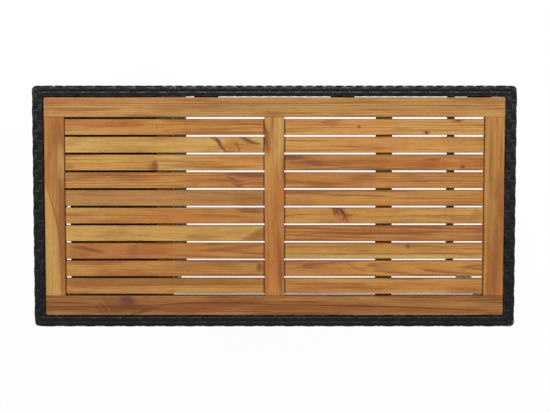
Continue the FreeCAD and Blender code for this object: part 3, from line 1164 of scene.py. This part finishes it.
@dataclass
class EndFrame:
    """Woven legs and floor bar at one place along the table, in millimetres."""

    name: str
    node: str
    legs: tuple[str, ...]
    bar: str
    seed: int
    sleeve: float = 26.0
    proud: float = 1.8
    inner_post: str = "left_centre_post"

    def build(self, material: bpy.types.Material, weave: Weave) -> None:
        """Weave the legs and the bar.

        Args:
            material: The strand's material.
            weave: How they are woven.
        """
        mesh = StrandMesh(self.name, self.seed)
        low, high = span(self.node)
        x = (low[0] + high[0]) / 2
        for leg in self.legs:
            leg_low, leg_high = span(leg)
            y = round(leg_low[1] + leg_high[1]) / 2
            foot = leg_low[2]
            side = self.sleeve
            if leg != self.inner_post:
                foot = low[2]
                side += self.proud
                y = math.copysign(high[1] - side / 2, y)
            TubeSleeve((x, y, foot), (x, y, high[2]), side).build(mesh, weave)
        bar_low, bar_high = span(self.bar)
        z = (bar_low[2] + bar_high[2]) / 2
        reach = high[1] - self.sleeve
        TubeSleeve((x, -reach, z), (x, reach, z), self.sleeve).build(mesh, weave)
        mesh.piece(material, self.node)


@dataclass
class WovenPanel:
    """Flat woven panel in a frame, of strands along Y over upright stakes, in millimetres."""

    name: str
    node: str
    seed: int
    row_pitch: float = 12.0
    steps: int = 4
    cross_steps: int = 2
    outward: tuple[float, float, float] = (1.0, 0.0, 0.0)

    def build(self, material: bpy.types.Material, weave: Weave) -> None:
        """Weave the panel.

        Args:
            material: The strand's material.
            weave: How it is woven.
        """
        mesh = StrandMesh(self.name, self.seed)
        low, high = span(self.node)
        x = (low[0] + high[0]) / 2
        rows = round((high[2] - low[2]) / self.row_pitch)
        stakes = round((high[1] - low[1]) / weave.pitch)
        index = crossings(stakes, self.steps)
        y = low[1] + (index + 0.5) * (high[1] - low[1]) / stakes
        for row in range(rows):
            z = np.full(len(y), low[2] + (row + 0.5) * (high[2] - low[2]) / rows)
            line = np.column_stack([x + weave.wave(index, row), y, z])
            mesh.sweep(line, np.tile(self.outward, (len(line), 1)), weave.strand)
        index = crossings(rows, self.cross_steps)
        z = low[2] + (index + 0.5) * (high[2] - low[2]) / rows
        for stake in range(stakes):
            y = np.full(len(z), low[1] + (stake + 0.5) * (high[1] - low[1]) / stakes)
            line = np.column_stack([x - weave.wave(index, stake), y, z])
            mesh.sweep(line, np.tile(self.outward, (len(line), 1)), weave.cross)
        mesh.piece(material, self.node)


@dataclass
class ShelfCover:
    """Woven shelf, drawn round its frame's tubes and left open below, in millimetres."""

    level: str
    seed: int
    tuck: float = 20.0
    corner: float = 3.0
    row_pitch: float = 12.0
    steps: int = 4
    cross_steps: int = 3
    top_rise: float = 0.7
    level_rise: float = 0.9

    def profile(self, low: float, high: float, bottom: float, top: float) -> RoundedLine:
        """Give the line under one tube, over the shelf and under the other tube.

        Args:
            low: Where the shelf begins, along X or Y.
            high: Where it ends.
            bottom: The level under the tubes.
            top: The level of the shelf.

        Returns:
            The line, with its outside up.
        """
        over = [(high, bottom), (high, top), (low, top), (low, bottom)]
        line = [(high - self.tuck, bottom), *over, (low + self.tuck, bottom)]
        return RoundedLine(line, self.corner, False)

    def strand(
        self,
        mesh: StrandMesh,
        cut: StrandCut,
        axis: int,
        spot: np.ndarray,
        out: np.ndarray,
        line: RoundedLine,
        wave: Sequence[np.ndarray],
    ) -> None:
        """Lay one strand: round both tubes where it crosses the top, else straight along a tube.

        Args:
            mesh: The mesh that takes the strand.
            cut: The strand's cross-section.
            axis: 0 for a strand along X, 1 for one along Y.
            spot: The strand's place across its run, and its level.
            out: The outward direction at that place.
            line: The profile along its run.
            wave: Distances along the profile and the strand's height at each.
        """
        reach, height = wave
        points, normals = line.at(reach)
        if out[1] < self.top_rise:
            over = normals[:, 1] > self.level_rise
            points = np.column_stack([points[over][:, 0], np.full(over.sum(), spot[1])])
            normals = np.tile((0.0, out[1]), (len(points), 1))
            height = height[over]
        across = np.full(len(points), spot[0])
        aside = np.full(len(points), 0.0 if out[1] >= self.top_rise else out[0])
        lay = (points[:, 0], across) if axis == 0 else (across, points[:, 0])
        lean = (normals[:, 0], aside) if axis == 0 else (aside, normals[:, 0])
        out_3d = np.column_stack([*lean, normals[:, 1]])
        mesh.sweep(np.column_stack([*lay, points[:, 1]]) + height[:, None] * out_3d, out_3d, cut)

    def build(self, material: bpy.types.Material, weave: Weave) -> None:
        """Weave the cover.

        Args:
            material: The strand's material.
            weave: How it is woven.
        """
        node = f"shelf_weave_{self.level}"
        mesh = StrandMesh(f"shelf_wicker_{self.level}", self.seed)
        low, high = span(node)
        low = low + weave.inset + weave.lift / 2
        high = high - weave.inset - weave.lift / 2
        over_x = self.profile(low[0], high[0], low[2], high[2])
        over_y = self.profile(low[1], high[1], low[2], high[2])
        stakes = round(over_x.length / weave.pitch)
        rows = round(over_y.length / self.row_pitch)
        index_x = crossings(stakes, self.steps)
        index_y = crossings(rows, self.cross_steps)
        reach_x = (index_x + 0.5) * over_x.length / stakes
        reach_y = (index_y + 0.5) * over_y.length / rows
        for row in range(rows):
            spot, out = over_y.at(np.array((row + 0.5) * over_y.length / rows))
            wave = (reach_x, weave.wave(index_x, row))
            self.strand(mesh, weave.strand, 0, spot, out, over_x, wave)
        for stake in range(stakes):
            spot, out = over_x.at(np.array((stake + 0.5) * over_x.length / stakes))
            wave = (reach_y, -weave.wave(index_y, stake))
            self.strand(mesh, weave.cross, 1, spot, out, over_y, wave)
        mesh.piece(material, node)


# The deck's boards, the plain parts and the studio


# A knot's halo against its core, and half the width of a wash in millimetres
HALO = 2.2
WASH_HALF_WIDTH = 45.0


def knot(x: float, y: float, half_length: float, half_width: float) -> tuple[Mark, Mark]:
    """Give a knot: a reddish halo and a dark core."""
    halo = Mark(x, y, half_length * HALO, half_width * HALO, Stain.RED, strength=0.55)
    return halo, Mark(x, y, half_length, half_width, Stain.KNOT, strength=0.85, ragged=2.0)


def wash(x: float, y: float, stain: Stain, strength: float, half_length: float = 420.0) -> Mark:
    """Give a slow change of colour over a slat or a stretch of it."""
    return Mark(x, y, half_length, WASH_HALF_WIDTH, stain, strength=strength)


RAIL_MARKS = {
    "deck_rail_rear": (
        Mark(0, 262, 1100, 8, Stain.ORANGE, strength=0.45),
        Mark(0, 256.5, 1000, 2.6, Stain.BROWN, strength=0.5),
        wash(-290, 248, Stain.STRAW, 0.18, 120),
        Mark(-420, 240, 260, 22, Stain.HONEY, strength=0.25),
        Mark(330, 243, 420, 26, Stain.GOLD, strength=0.5),
    ),
    "deck_rail_front": (
        Mark(-500, -249, 330, 36, Stain.BROWN, strength=0.5),
        Mark(-385, -248, 90, 34, Stain.UMBER, strength=0.35),
        Mark(300, -236, 460, 13, Stain.GOLD, -1.5, strength=0.3),
        Mark(330, -264, 460, 11, Stain.BROWN, -1.6, strength=0.6),
        Mark(0, -271, 1100, 6, Stain.GOLD, strength=0.4),
        Mark(-535, -266, 60, 6, Stain.ORANGE, strength=0.7),
        Mark(-455, -254, 62, 16, Stain.BROWN, strength=0.5),
        Mark(-461, -236.6, 36, 3.0, Stain.ORANGE, -2, -2.0, 0.6, 2.0),
        Mark(-520, -241.5, 80, 2.8, Stain.UMBER, strength=0.8, ragged=2.0),
        Mark(-512, -257.5, 62, 2.8, Stain.UMBER, -1.5, strength=0.65, ragged=2.0),
        Mark(-420.5, -252.5, 26, 3.0, Stain.ORANGE, -54, -8.0, 0.55, 2.0),
        Mark(-424, -256, 26, 3.6, Stain.UMBER, -54, -8.0, 0.8, 2.0),
        Mark(-439, -259, 18, 2.6, Stain.UMBER, -40, -9.0, 0.5, 2.0),
        Mark(-368, -237, 34, 18, Stain.PURPLE, -12, strength=0.75, ragged=9.0),
        Mark(-369, -234, 24, 12, Stain.KNOT, -10, strength=0.45, ragged=8.0),
        Mark(-378, -250, 24, 5, Stain.UMBER, 24, strength=0.7, ragged=6.0),
        Mark(-318, -260, 58, 6.0, Stain.UMBER, 15, strength=0.75, ragged=3.0),
        Mark(-320, -228, 11, 7, Stain.RED, strength=0.8),
        Mark(-60, -257, 330, 12, Stain.RED, -1.6, strength=0.45),
        Mark(-258, -241.5, 60, 2.6, Stain.ORANGE, 6, -0.4, 0.55, 2.0),
        Mark(-145, -241.4, 215, 3.2, Stain.UMBER, 0, -0.21, 0.85, 2.0),
        Mark(287, -251.6, 360, 3.6, Stain.UMBER, -1.8, -0.044, 0.8, 2.5),
    ),
}
STILE_MARKS = {
    "deck_stile_left": (
        Mark(-546, 0, 420, 40, Stain.BROWN, 90, strength=0.14),
        Mark(-546, 95, 120, 45, Stain.BROWN, 90, strength=0.18),
        Mark(-546, -170, 90, 45, Stain.RED, 90, strength=0.3),
        Mark(-541, 182, 74, 21, Stain.BROWN, 92, strength=0.6, ragged=8.0),
        Mark(-531, 104, 72, 12, Stain.STRAW, 92, strength=0.75),
        Mark(-533.7, -130, 1, 1.5, Stain.GOLD, 90, 1.05, 0.85, 3.0, Part.SIDE),
        Mark(-538, -218, 100, 8.5, Stain.GOLD, 90, strength=0.9),
        Mark(-555, -150, 150, 12, Stain.STRAW, 92, strength=0.5),
        Mark(-527, -80, 260, 16, Stain.BROWN, 92, strength=0.65),
        Mark(-543.7, -34, 140, 3.2, Stain.BROWN, 101.3, 1.05, 0.75, 3.0),
        Mark(-533.5, -180, 80, 2.8, Stain.BROWN, 90, strength=0.6),
    ),
    "deck_stile_centre": (
        Mark(9, 178, 105, 17, Stain.STRAW, 90, strength=0.65),
        Mark(-4, -90, 260, 40, Stain.ORANGE, 90, strength=0.55),
        Mark(-19, 168, 58, 13, Stain.RED, 95, strength=0.7, ragged=9.0),
        Mark(-21, 164, 18, 7, Stain.UMBER, 98, strength=0.75, ragged=6.0),
        Mark(-20, 187, 24, 4.2, Stain.UMBER, 108, strength=0.65, ragged=4.0),
        Mark(-17, 147, 14, 4.0, Stain.PURPLE, 84, strength=0.6, ragged=4.0),
        Mark(12, -130, 120, 9, Stain.RED, 92, strength=0.8),
        Mark(17, -170, 80, 6, Stain.PURPLE, 92, strength=0.5),
    ),
    "deck_stile_right": (
        Mark(545, -40, 420, 36, Stain.BROWN, 90, strength=0.3),
        Mark(545, -120, 190, 45, Stain.UMBER, 90, strength=0.13),
        Mark(553, -120, 150, 12, Stain.BROWN, 90, strength=0.6),
        Mark(540, 100, 150, 8, Stain.BROWN, 90, strength=0.4),
        Mark(526, 0, 400, 7, Stain.GOLD, 90, strength=0.6),
    ),
}
LEFT_SLATS: tuple[tuple[Tone, Cut, tuple[Mark, ...]], ...] = (
    (
        Tone.AMBER,
        Cut.QUARTER,
        (
            wash(-460, 199, Stain.STRAW, 0.14, 100),
            Mark(-274, 190, 420, 15, Stain.ORANGE, strength=0.2),
            Mark(-292, 199, 20, 2.2, Stain.BROWN, 90, strength=0.4),
            Mark(-218, 199, 20, 2.2, Stain.BROWN, 90, strength=0.35),
        ),
    ),
    (
        Tone.STRAW,
        Cut.CALM,
        (
            wash(-330, 155, Stain.STRAW, 0.25),
            wash(-392, 155, Stain.BROWN, 0.22, 90),
            Mark(-60, 147, 50, 18, Stain.ORANGE, -14, strength=0.6),
            Mark(-104, 151, 34, 21, Stain.ORANGE, -20, strength=0.75, ragged=9.0),
            Mark(-90, 149, 22, 5, Stain.BROWN, -68, -9.0, 0.75),
            Mark(-112, 138, 20, 5, Stain.BROWN, strength=0.7),
            Mark(-146, 168, 24, 8, Stain.BROWN, -28, strength=0.7, ragged=7.0),
            Mark(-135, 155, 33, 6.4, Stain.KNOT, -55, 4.0, 0.85),
            Mark(-40, 168, 28, 12, Stain.STRAW, -25, strength=0.85),
            Mark(-72, 167, 30, 8, Stain.BROWN, -33, strength=0.7),
            Mark(-56, 161, 38, 4.8, Stain.KNOT, -19, 7.0, 0.75),
        ),
    ),
    (
        Tone.GOLD,
        Cut.QUARTER,
        (
            wash(-330, 110, Stain.RED, 0.25, 80),
            wash(-125, 110, Stain.HONEY, 0.22, 150),
            Mark(-307, 101, 15, 17, Stain.BROWN, strength=0.5, ragged=9.0),
            Mark(-246, 104, 78, 26, Stain.CREAM, strength=0.85),
            Mark(-298, 98, 13, 26, Stain.PURPLE, strength=0.8, ragged=9.0),
            Mark(-294, 102, 17, 4.0, Stain.UMBER, 96, strength=0.5, ragged=5.0),
            Mark(-99, 100, 80, 4, Stain.BROWN, strength=0.5),
        ),
    ),
    (
        Tone.AMBER,
        Cut.RIFT,
        (
            wash(-300, 66, Stain.HONEY, 0.15),
            wash(-440, 66, Stain.STRAW, 0.2, 140),
            wash(-85, 66, Stain.RED, 0.35, 120),
            Mark(-62, 81, 74, 10, Stain.PURPLE, -3, strength=0.85),
            Mark(-104, 70, 22, 4.0, Stain.PURPLE, -24, strength=0.7, ragged=8.0),
            Mark(-92, 61, 20, 4.0, Stain.PURPLE, 16, strength=0.65, ragged=8.0),
            Mark(-88, 52, 18, 4.0, Stain.PURPLE, -12, strength=0.7, ragged=8.0),
            Mark(-125, 67, 50, 3.4, Stain.PURPLE, -6, strength=0.55),
            Mark(-74, 57, 40, 3.0, Stain.PURPLE, 8, strength=0.5),
        ),
    ),
    (
        Tone.TAN,
        Cut.QUARTER,
        (wash(-274, 22, Stain.BROWN, 0.18), wash(-415, 22, Stain.STRAW, 0.2, 80)),
    ),
    (
        Tone.GOLD,
        Cut.QUARTER,
        (
            wash(-274, -22, Stain.ORANGE, 0.35),
            wash(-481, -22, Stain.STRAW, 0.24, 90),
            wash(-60, -22, Stain.RED, 0.28, 60),
            Mark(-250, -20, 220, 4.5, Stain.ORANGE, strength=0.6),
            Mark(-130, -23, 110, 4.4, Stain.BROWN, -2, strength=0.6),
            Mark(-58, -9, 52, 9, Stain.PURPLE, -4, strength=0.75),
        ),
    ),
    (
        Tone.STRAW,
        Cut.CALM,
        (
            wash(-330, -66, Stain.BROWN, 0.1),
            wash(-320, -66, Stain.STRAW, 0.24, 140),
            wash(-62, -66, Stain.BROWN, 0.2, 55),
            Mark(-56.6, -67, 1, 4.0, Stain.BROWN, 212.5, strength=0.6, ragged=6.0, part=Part.SIDE),
            Mark(-44, -75, 34, 7, Stain.RED, 30, strength=0.4),
        ),
    ),
    (
        Tone.AMBER,
        Cut.FLAT,
        (
            wash(-274, -110, Stain.ORANGE, 0.22),
            wash(-380, -110, Stain.HONEY, 0.25, 85),
            wash(-62, -110, Stain.RED, 0.35, 60),
            Mark(-487, -116, 42, 20, Stain.BROWN, strength=0.4),
            Mark(-465, -105.6, 62, 7, Stain.PURPLE, -11, -1.5, 0.75),
            Mark(-353, -112, 20, 18, Stain.BROWN, strength=0.5, ragged=9.0),
            Mark(-100, -103, 120, 9, Stain.RED, 6, strength=0.7),
        ),
    ),
    (
        Tone.AMBER,
        Cut.QUARTER,
        (
            wash(-274, -154, Stain.RED, 0.2),
            wash(-214, -154, Stain.RED, 0.3, 95),
            Mark(-37, -152, 13, 17, Stain.PURPLE, strength=0.75, ragged=9.0),
            Mark(-56, -137, 32, 5, Stain.PURPLE, strength=0.65),
        ),
    ),
    (
        Tone.GOLD,
        Cut.QUARTER,
        (
            wash(-274, -199, Stain.BROWN, 0.28),
            Mark(-276, -197.7, 1, 2.5, Stain.BROWN, strength=0.55, ragged=6.0, part=Part.SIDE),
            Mark(-300, -195, 330, 4, Stain.BROWN, strength=0.5),
        ),
    ),
)
RIGHT_SLATS: tuple[tuple[Tone, Cut, tuple[Mark, ...]], ...] = (
    (
        Tone.GOLD,
        Cut.QUARTER,
        (
            wash(280, 196, Stain.HONEY, 0.65),
            wash(400, 199, Stain.STRAW, 0.25, 180),
            Mark(140, 210, 34, 13, Stain.RED, strength=0.6, ragged=8.0),
            *knot(210, 199, 4.5, 3.2),
            *knot(377.8, 184.5, 6.5, 5.0),
            *knot(456, 215.0, 11, 3.4),
        ),
    ),
    (Tone.GOLD, Cut.QUARTER, (wash(274, 155, Stain.HONEY, 0.55),)),
    (
        Tone.RUSSET,
        Cut.RIFT,
        (
            wash(215, 110, Stain.UMBER, 0.18, 110),
            Mark(43, 124, 50, 11, Stain.PURPLE, strength=0.75),
            Mark(78, 112, 70, 4.5, Stain.PURPLE, strength=0.6, ragged=11.0),
            Mark(120, 104, 90, 3.4, Stain.PURPLE, -2, strength=0.5, ragged=8.0),
            Mark(393, 118.5, 30, 3.6, Stain.PURPLE, strength=0.75),
            *knot(468.7, 100, 5.5, 4.4),
        ),
    ),
    (
        Tone.AMBER,
        Cut.QUARTER,
        (wash(274, 66, Stain.RED, 0.2), wash(300, 66, Stain.HONEY, 0.18, 140)),
    ),
    (
        Tone.AMBER,
        Cut.QUARTER,
        (
            wash(274, 22, Stain.HONEY, 0.2),
            wash(58, 22, Stain.RED, 0.28, 65),
            wash(450, 22, Stain.HONEY, 0.18, 95),
        ),
    ),
    (
        Tone.GOLD,
        Cut.QUARTER,
        (
            wash(274, -22, Stain.ORANGE, 0.2),
            wash(85, -22, Stain.HONEY, 0.22, 80),
            Mark(411, -22, 150, 3.6, Stain.BROWN, strength=0.6),
            Mark(504, -20, 22, 18, Stain.RED, strength=0.5),
            Mark(165, -17, 46, 21, Stain.RED, -46, strength=0.6),
            Mark(149, -12, 16, 4.4, Stain.UMBER, -76, 6.0, 0.8, 2.0),
            Mark(157.5, -8, 9, 7.5, Stain.PURPLE, -40, strength=0.9, ragged=2.0),
            Mark(158.5, -15, 12, 4.6, Stain.UMBER, -44, strength=0.95, ragged=2.0),
            Mark(170, -14, 19, 6.4, Stain.UMBER, -51, 3.0, 1.0, 2.0),
            Mark(169, -13, 15, 3.0, Stain.KNOT, -51, 3.0, 0.6, 2.0),
            Mark(164, -17, 11, 2.6, Stain.ORANGE, -50, strength=0.6, ragged=2.0),
            Mark(176.5, -21.5, 8, 6.5, Stain.PURPLE, strength=0.9, ragged=2.0),
            Mark(187, -21.5, 14, 3.4, Stain.UMBER, strength=0.55, ragged=2.0),
            Mark(172.5, -30, 9, 3.2, Stain.UMBER, 65, strength=0.6, ragged=2.0),
            Mark(180, -32, 11, 3.4, Stain.UMBER, -58, strength=0.65, ragged=2.0),
            Mark(158, -3.6, 22, 2.8, Stain.KNOT, strength=0.8, ragged=1.0),
        ),
    ),
    (
        Tone.RUSSET,
        Cut.RIFT,
        (
            wash(274, -66, Stain.HONEY, 0.15),
            wash(240, -66, Stain.ORANGE, 0.3, 210),
            Mark(200, -54, 260, 5, Stain.ORANGE, strength=0.5),
        ),
    ),
    (
        Tone.AMBER,
        Cut.QUARTER,
        (
            wash(274, -105, Stain.GOLD, 0.35),
            wash(480, -110, Stain.HONEY, 0.25, 55),
            Mark(272, -117.5, 420, 2.6, Stain.BROWN, strength=0.6),
            Mark(272, -126, 420, 7, Stain.STRAW, strength=0.75),
            *knot(333, -98.4, 5.5, 5.5),
        ),
    ),
    (
        Tone.AMBER,
        Cut.FLAT,
        (
            wash(274, -154, Stain.ORANGE, 0.25),
            wash(105, -154, Stain.RED, 0.28, 135),
            wash(480, -154, Stain.HONEY, 0.3, 60),
            Mark(60, -152, 46, 4, Stain.BROWN, 14, 6.0, 0.5),
            Mark(205, -154, 48, 4, Stain.BROWN, -22, 5.0, 0.5),
        ),
    ),
    (
        Tone.AMBER,
        Cut.QUARTER,
        (
            wash(274, -199, Stain.HONEY, 0.18),
            wash(122, -199, Stain.HONEY, 0.22, 65),
            Mark(270, -186, 420, 6, Stain.GOLD, strength=0.55),
            Mark(478, -210, 66, 13, Stain.RED, strength=0.6),
        ),
    ),
)


@dataclass
class Deck:
    """Acacia deck of rails, stiles, slats and the battens under them, with rings in millimetres."""

    finish: AcaciaFinish = field(default_factory=AcaciaFinish)
    seed: int = 23
    ring_widths: tuple[float, float] = (4.5, 8.0)
    first_grain: float = 1.0
    grain_step: float = 0.37

    def sorted_boards(self) -> list[tuple[str, Tone, Cut, tuple[Mark, ...], bool]]:
        """List the boards with their shades, cuts, marks and run.

        Returns:
            Node, tone, cut, marks and whether the grain runs along Y.
        """
        rows = [
            ("deck_rail_rear", Tone.TAN, Cut.QUARTER, RAIL_MARKS["deck_rail_rear"], False),
            ("deck_rail_front", Tone.UMBER, Cut.QUARTER, RAIL_MARKS["deck_rail_front"], False),
            ("deck_stile_left", Tone.AMBER, Cut.CALM, STILE_MARKS["deck_stile_left"], True),
            ("deck_stile_centre", Tone.AMBER, Cut.CALM, STILE_MARKS["deck_stile_centre"], True),
            ("deck_stile_right", Tone.AMBER, Cut.CALM, STILE_MARKS["deck_stile_right"], True),
        ]
        for bay, slats in (("left", LEFT_SLATS), ("right", RIGHT_SLATS)):
            for number, (tone, cut, marks) in enumerate(slats, 1):
                rows.append((f"slat_{bay}_{number:02d}", tone, cut, marks, False))
            rows.append((f"deck_batten_{bay}", Tone.RUSSET, Cut.RIFT, (), True))
        return rows

    def dress(self, nodes: dict[str, bpy.types.Object]) -> None:
        """Give every board its own wood.

        Args:
            nodes: The CAD nodes by name.
        """
        random = np.random.default_rng(self.seed)
        for number, (node, tone, cut, marks, lengthwise_y) in enumerate(self.sorted_boards()):
            pith = cut.value
            board = Board(
                node,
                tone,
                cut,
                pith_depth=random.uniform(*pith.depth),
                pith_aside=random.uniform(*pith.aside) * random.choice((-1, 1)),
                rise=random.uniform(*pith.rise),
                ring=random.uniform(*self.ring_widths),
                wander=random.uniform(*pith.wander),
                lengthwise_y=lengthwise_y,
                shoulders=node.startswith("slat"),
                hidden=node.startswith("deck_batten"),
                marks=marks,
            )
            grain = self.first_grain + number * self.grain_step
            paint(nodes[node], self.finish.material(board, grain))
            log.info("%s: %s acacia with %d marks", node, tone.name.lower(), len(marks))


def paint(node: bpy.types.Object, material: bpy.types.Material) -> None:
    """Put a material in every slot of a CAD node."""
    for place in node.material_slots:
        place.material = material


@dataclass
class Ironwork:
    """Steel, fasteners and glides that keep their CAD shape."""

    steel: tuple[str, ...] = (
        "rim_tube",
        "leg_",
        "rack_post",
        "left_centre_post",
        "floor_bar",
        "panel_rods",
        "shelf_frame",
        "shelf_brackets",
    )
    fasteners: tuple[str, ...] = ("shelf_bolts", "rim_bolts", "rivet_nuts", "wood_screws")
    glides: tuple[str, ...] = ("foot_glides",)

    def dress(self, nodes: dict[str, bpy.types.Object]) -> None:
        """Give the parts their finishes.

        Args:
            nodes: The CAD nodes by name.
        """
        groups = ((self.steel, COATED_STEEL), (self.fasteners, ZINC), (self.glides, GLIDE_PLASTIC))
        for starts, finish in groups:
            material = finish.material()
            for name, node in nodes.items():
                if name.startswith(starts):
                    paint(node, material)
                    log.info("%s: %s", name, finish.name)


@dataclass
class Studio:
    """Pale floor, soft light from above and the camera over the table, in metres."""

    floor_half: float = 14.0
    floor_colour: Colour = (246, 245, 243)
    floor_speck: Colour = (252, 252, 251)
    speck_counts: tuple[float, float, float] = (30.0, 30.0, 30.0)
    floor_roughness: float = 0.9
    floor_shine: float = 0.1
    backdrop: float = 1.02
    backdrop_share: float = 0.92
    camera_place: tuple[float, float, float] = (0.0015, 0.279, 4.23)
    camera_tilt: float = -4.0
    camera_shift: float = -0.0421
    lens: float = 82.54
    sensor: float = 36.0
    sky: float = 0.45
    ceiling: float = 0.2
    wall_top: tuple[float, float] = (0.35, 0.75)
    lamps: tuple[tuple[tuple[float, float, float], float, float], ...] = (
        ((-3.5, 2.0, 4.5), 3.0, 80.0),
        ((3.5, 2.0, 4.5), 3.0, 80.0),
        ((0.0, 1.8, 5.3), 1.0, 45.0),
    )

    @staticmethod
    def shown(graph: Graph) -> bpy.types.NodeSocket:
        """Put out 1 for what the camera, a reflection or glass shows.

        Args:
            graph: The graph of the floor or the room.

        Returns:
            1 where it shows and 0 where it only lights the table.
        """
        path = graph.node("ShaderNodeLightPath").outputs
        seen = graph.math("MAXIMUM", path["Is Camera Ray"], path["Is Glossy Ray"])
        return graph.math("MAXIMUM", seen, path["Is Transmission Ray"])

    def build_floor(self) -> None:
        """Lay a floor that shows nearly white and keeps the table's shadow."""
        half = self.floor_half
        mesh = bpy.data.meshes.new("studio_floor")
        corners = [(-half, -half, 0), (half, -half, 0), (half, half, 0), (-half, half, 0)]
        mesh.from_pydata(corners, [], [(0, 1, 2, 3)])
        floor = bpy.data.objects.new("studio_floor", mesh)
        bpy.context.scene.collection.objects.link(floor)
        material, graph, shader = new_material("pale_studio_floor")
        speck = graph.noise(graph.place(), self.speck_counts, 4.0)
        warm = linear(self.floor_colour)
        wire(graph, shader, Base_Color=graph.mix(speck, warm, linear(self.floor_speck)))
        shader.inputs["Roughness"].default_value = self.floor_roughness
        shader.inputs["Specular IOR Level"].default_value = self.floor_shine
        glow = {"Color": (1, 1, 1, 1), "Strength": self.backdrop}
        white = graph.node("ShaderNodeEmission", glow).outputs[0]
        share = graph.math("MULTIPLY", self.shown(graph), self.backdrop_share)
        mixed = graph.node("ShaderNodeMixShader", {0: share, 1: shader.outputs[0], 2: white})
        output = graph.tree.nodes["Material Output"]
        graph.tree.links.new(mixed.outputs[0], output.inputs["Surface"])
        mesh.materials.append(material)

    def build_light(self) -> None:
        """Hang the lamps and light the room, which has white walls and a dim ceiling."""
        for number, (place, side, power) in enumerate(self.lamps, 1):
            lamp = bpy.data.lights.new(f"softbox_{number}", "AREA")
            lamp.shape = "SQUARE"
            lamp.size = side
            lamp.energy = power
            hung = bpy.data.objects.new(f"softbox_{number}", lamp)
            hung.location = place
            aim = Vector((0.0, 0.0, DECK_TOP)) - hung.location
            hung.rotation_euler = aim.to_track_quat("-Z", "Y").to_euler()
            bpy.context.scene.collection.objects.link(hung)
        world = bpy.data.worlds.new("studio_room")
        world.use_nodes = True
        graph = Graph(world.node_tree)
        height = graph.split(graph.node("ShaderNodeTexCoord").outputs["Generated"])[2]
        seen = graph.spread(graph.fade(height, *self.wall_top), 1.0, self.ceiling)
        brighter = graph.math("SUBTRACT", seen, self.sky)
        strength = graph.math("MULTIPLY_ADD", self.shown(graph), brighter, self.sky)
        room = graph.tree.nodes["Background"].inputs
        graph.tree.links.new(strength, room["Strength"])
        room["Color"].default_value = (1, 1, 1, 1)
        bpy.context.scene.world = world

    def build_camera(self) -> None:
        """Set the camera above the table, a little to its rear."""
        camera = bpy.data.cameras.new("photo_camera")
        camera.lens = self.lens
        camera.sensor_width = self.sensor
        camera.shift_y = self.camera_shift
        holder = bpy.data.objects.new("photo_camera", camera)
        holder.location = self.camera_place
        holder.rotation_euler = (math.radians(self.camera_tilt), 0.0, 0.0)
        bpy.context.scene.collection.objects.link(holder)
        bpy.context.scene.camera = holder

    def build(self) -> None:
        """Set up floor, light, camera and plain colours."""
        self.build_floor()
        self.build_light()
        self.build_camera()
        bpy.context.scene.view_settings.view_transform = "Standard"


def main() -> None:
    """Load the frame, weave and dress the table."""
    logging.basicConfig(level=logging.INFO, format="%(name)s: %(message)s")
    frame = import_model()
    strand = StrandFinish().material()
    weave = Weave()
    close_weave = Weave(strand=StrandCut(12.5, 1.6))
    dull = StrandFinish(
        "woven_dull_strand", dust=(44, 42, 40), roughness=(0.58, 0.7), shine=0.14, relief=0.2
    )
    dull_strand = dull.material()
    Studio().build()
    Deck().dress(frame["nodes"])
    Ironwork().dress(frame["nodes"])
    Rim().build(strand, weave)
    left_legs = ("leg_left_front", "leg_left_rear", "left_centre_post")
    rack_posts = ("rack_post_front", "rack_post_rear")
    right_legs = ("leg_right_front", "leg_right_rear")
    frames = (
        EndFrame("left_frame_wicker", "left_frame_weave", left_legs, "floor_bar_left", 21),
        EndFrame("rack_frame_wicker", "rack_frame_weave", rack_posts, "floor_bar_rack", 22),
        EndFrame("right_frame_wicker", "right_frame_weave", right_legs, "floor_bar_right", 23),
    )
    for end_frame in frames:
        end_frame.build(strand, weave)
    WovenPanel("left_panel_wicker", "left_panel_weave", 31).build(dull_strand, close_weave)
    WovenPanel("rack_panel_wicker", "rack_panel_weave", 32).build(dull_strand, close_weave)
    for seed, level in enumerate(("bottom", "middle", "upper"), 41):
        ShelfCover(level, seed).build(dull_strand, close_weave)


if __name__ == "__main__":
    main()
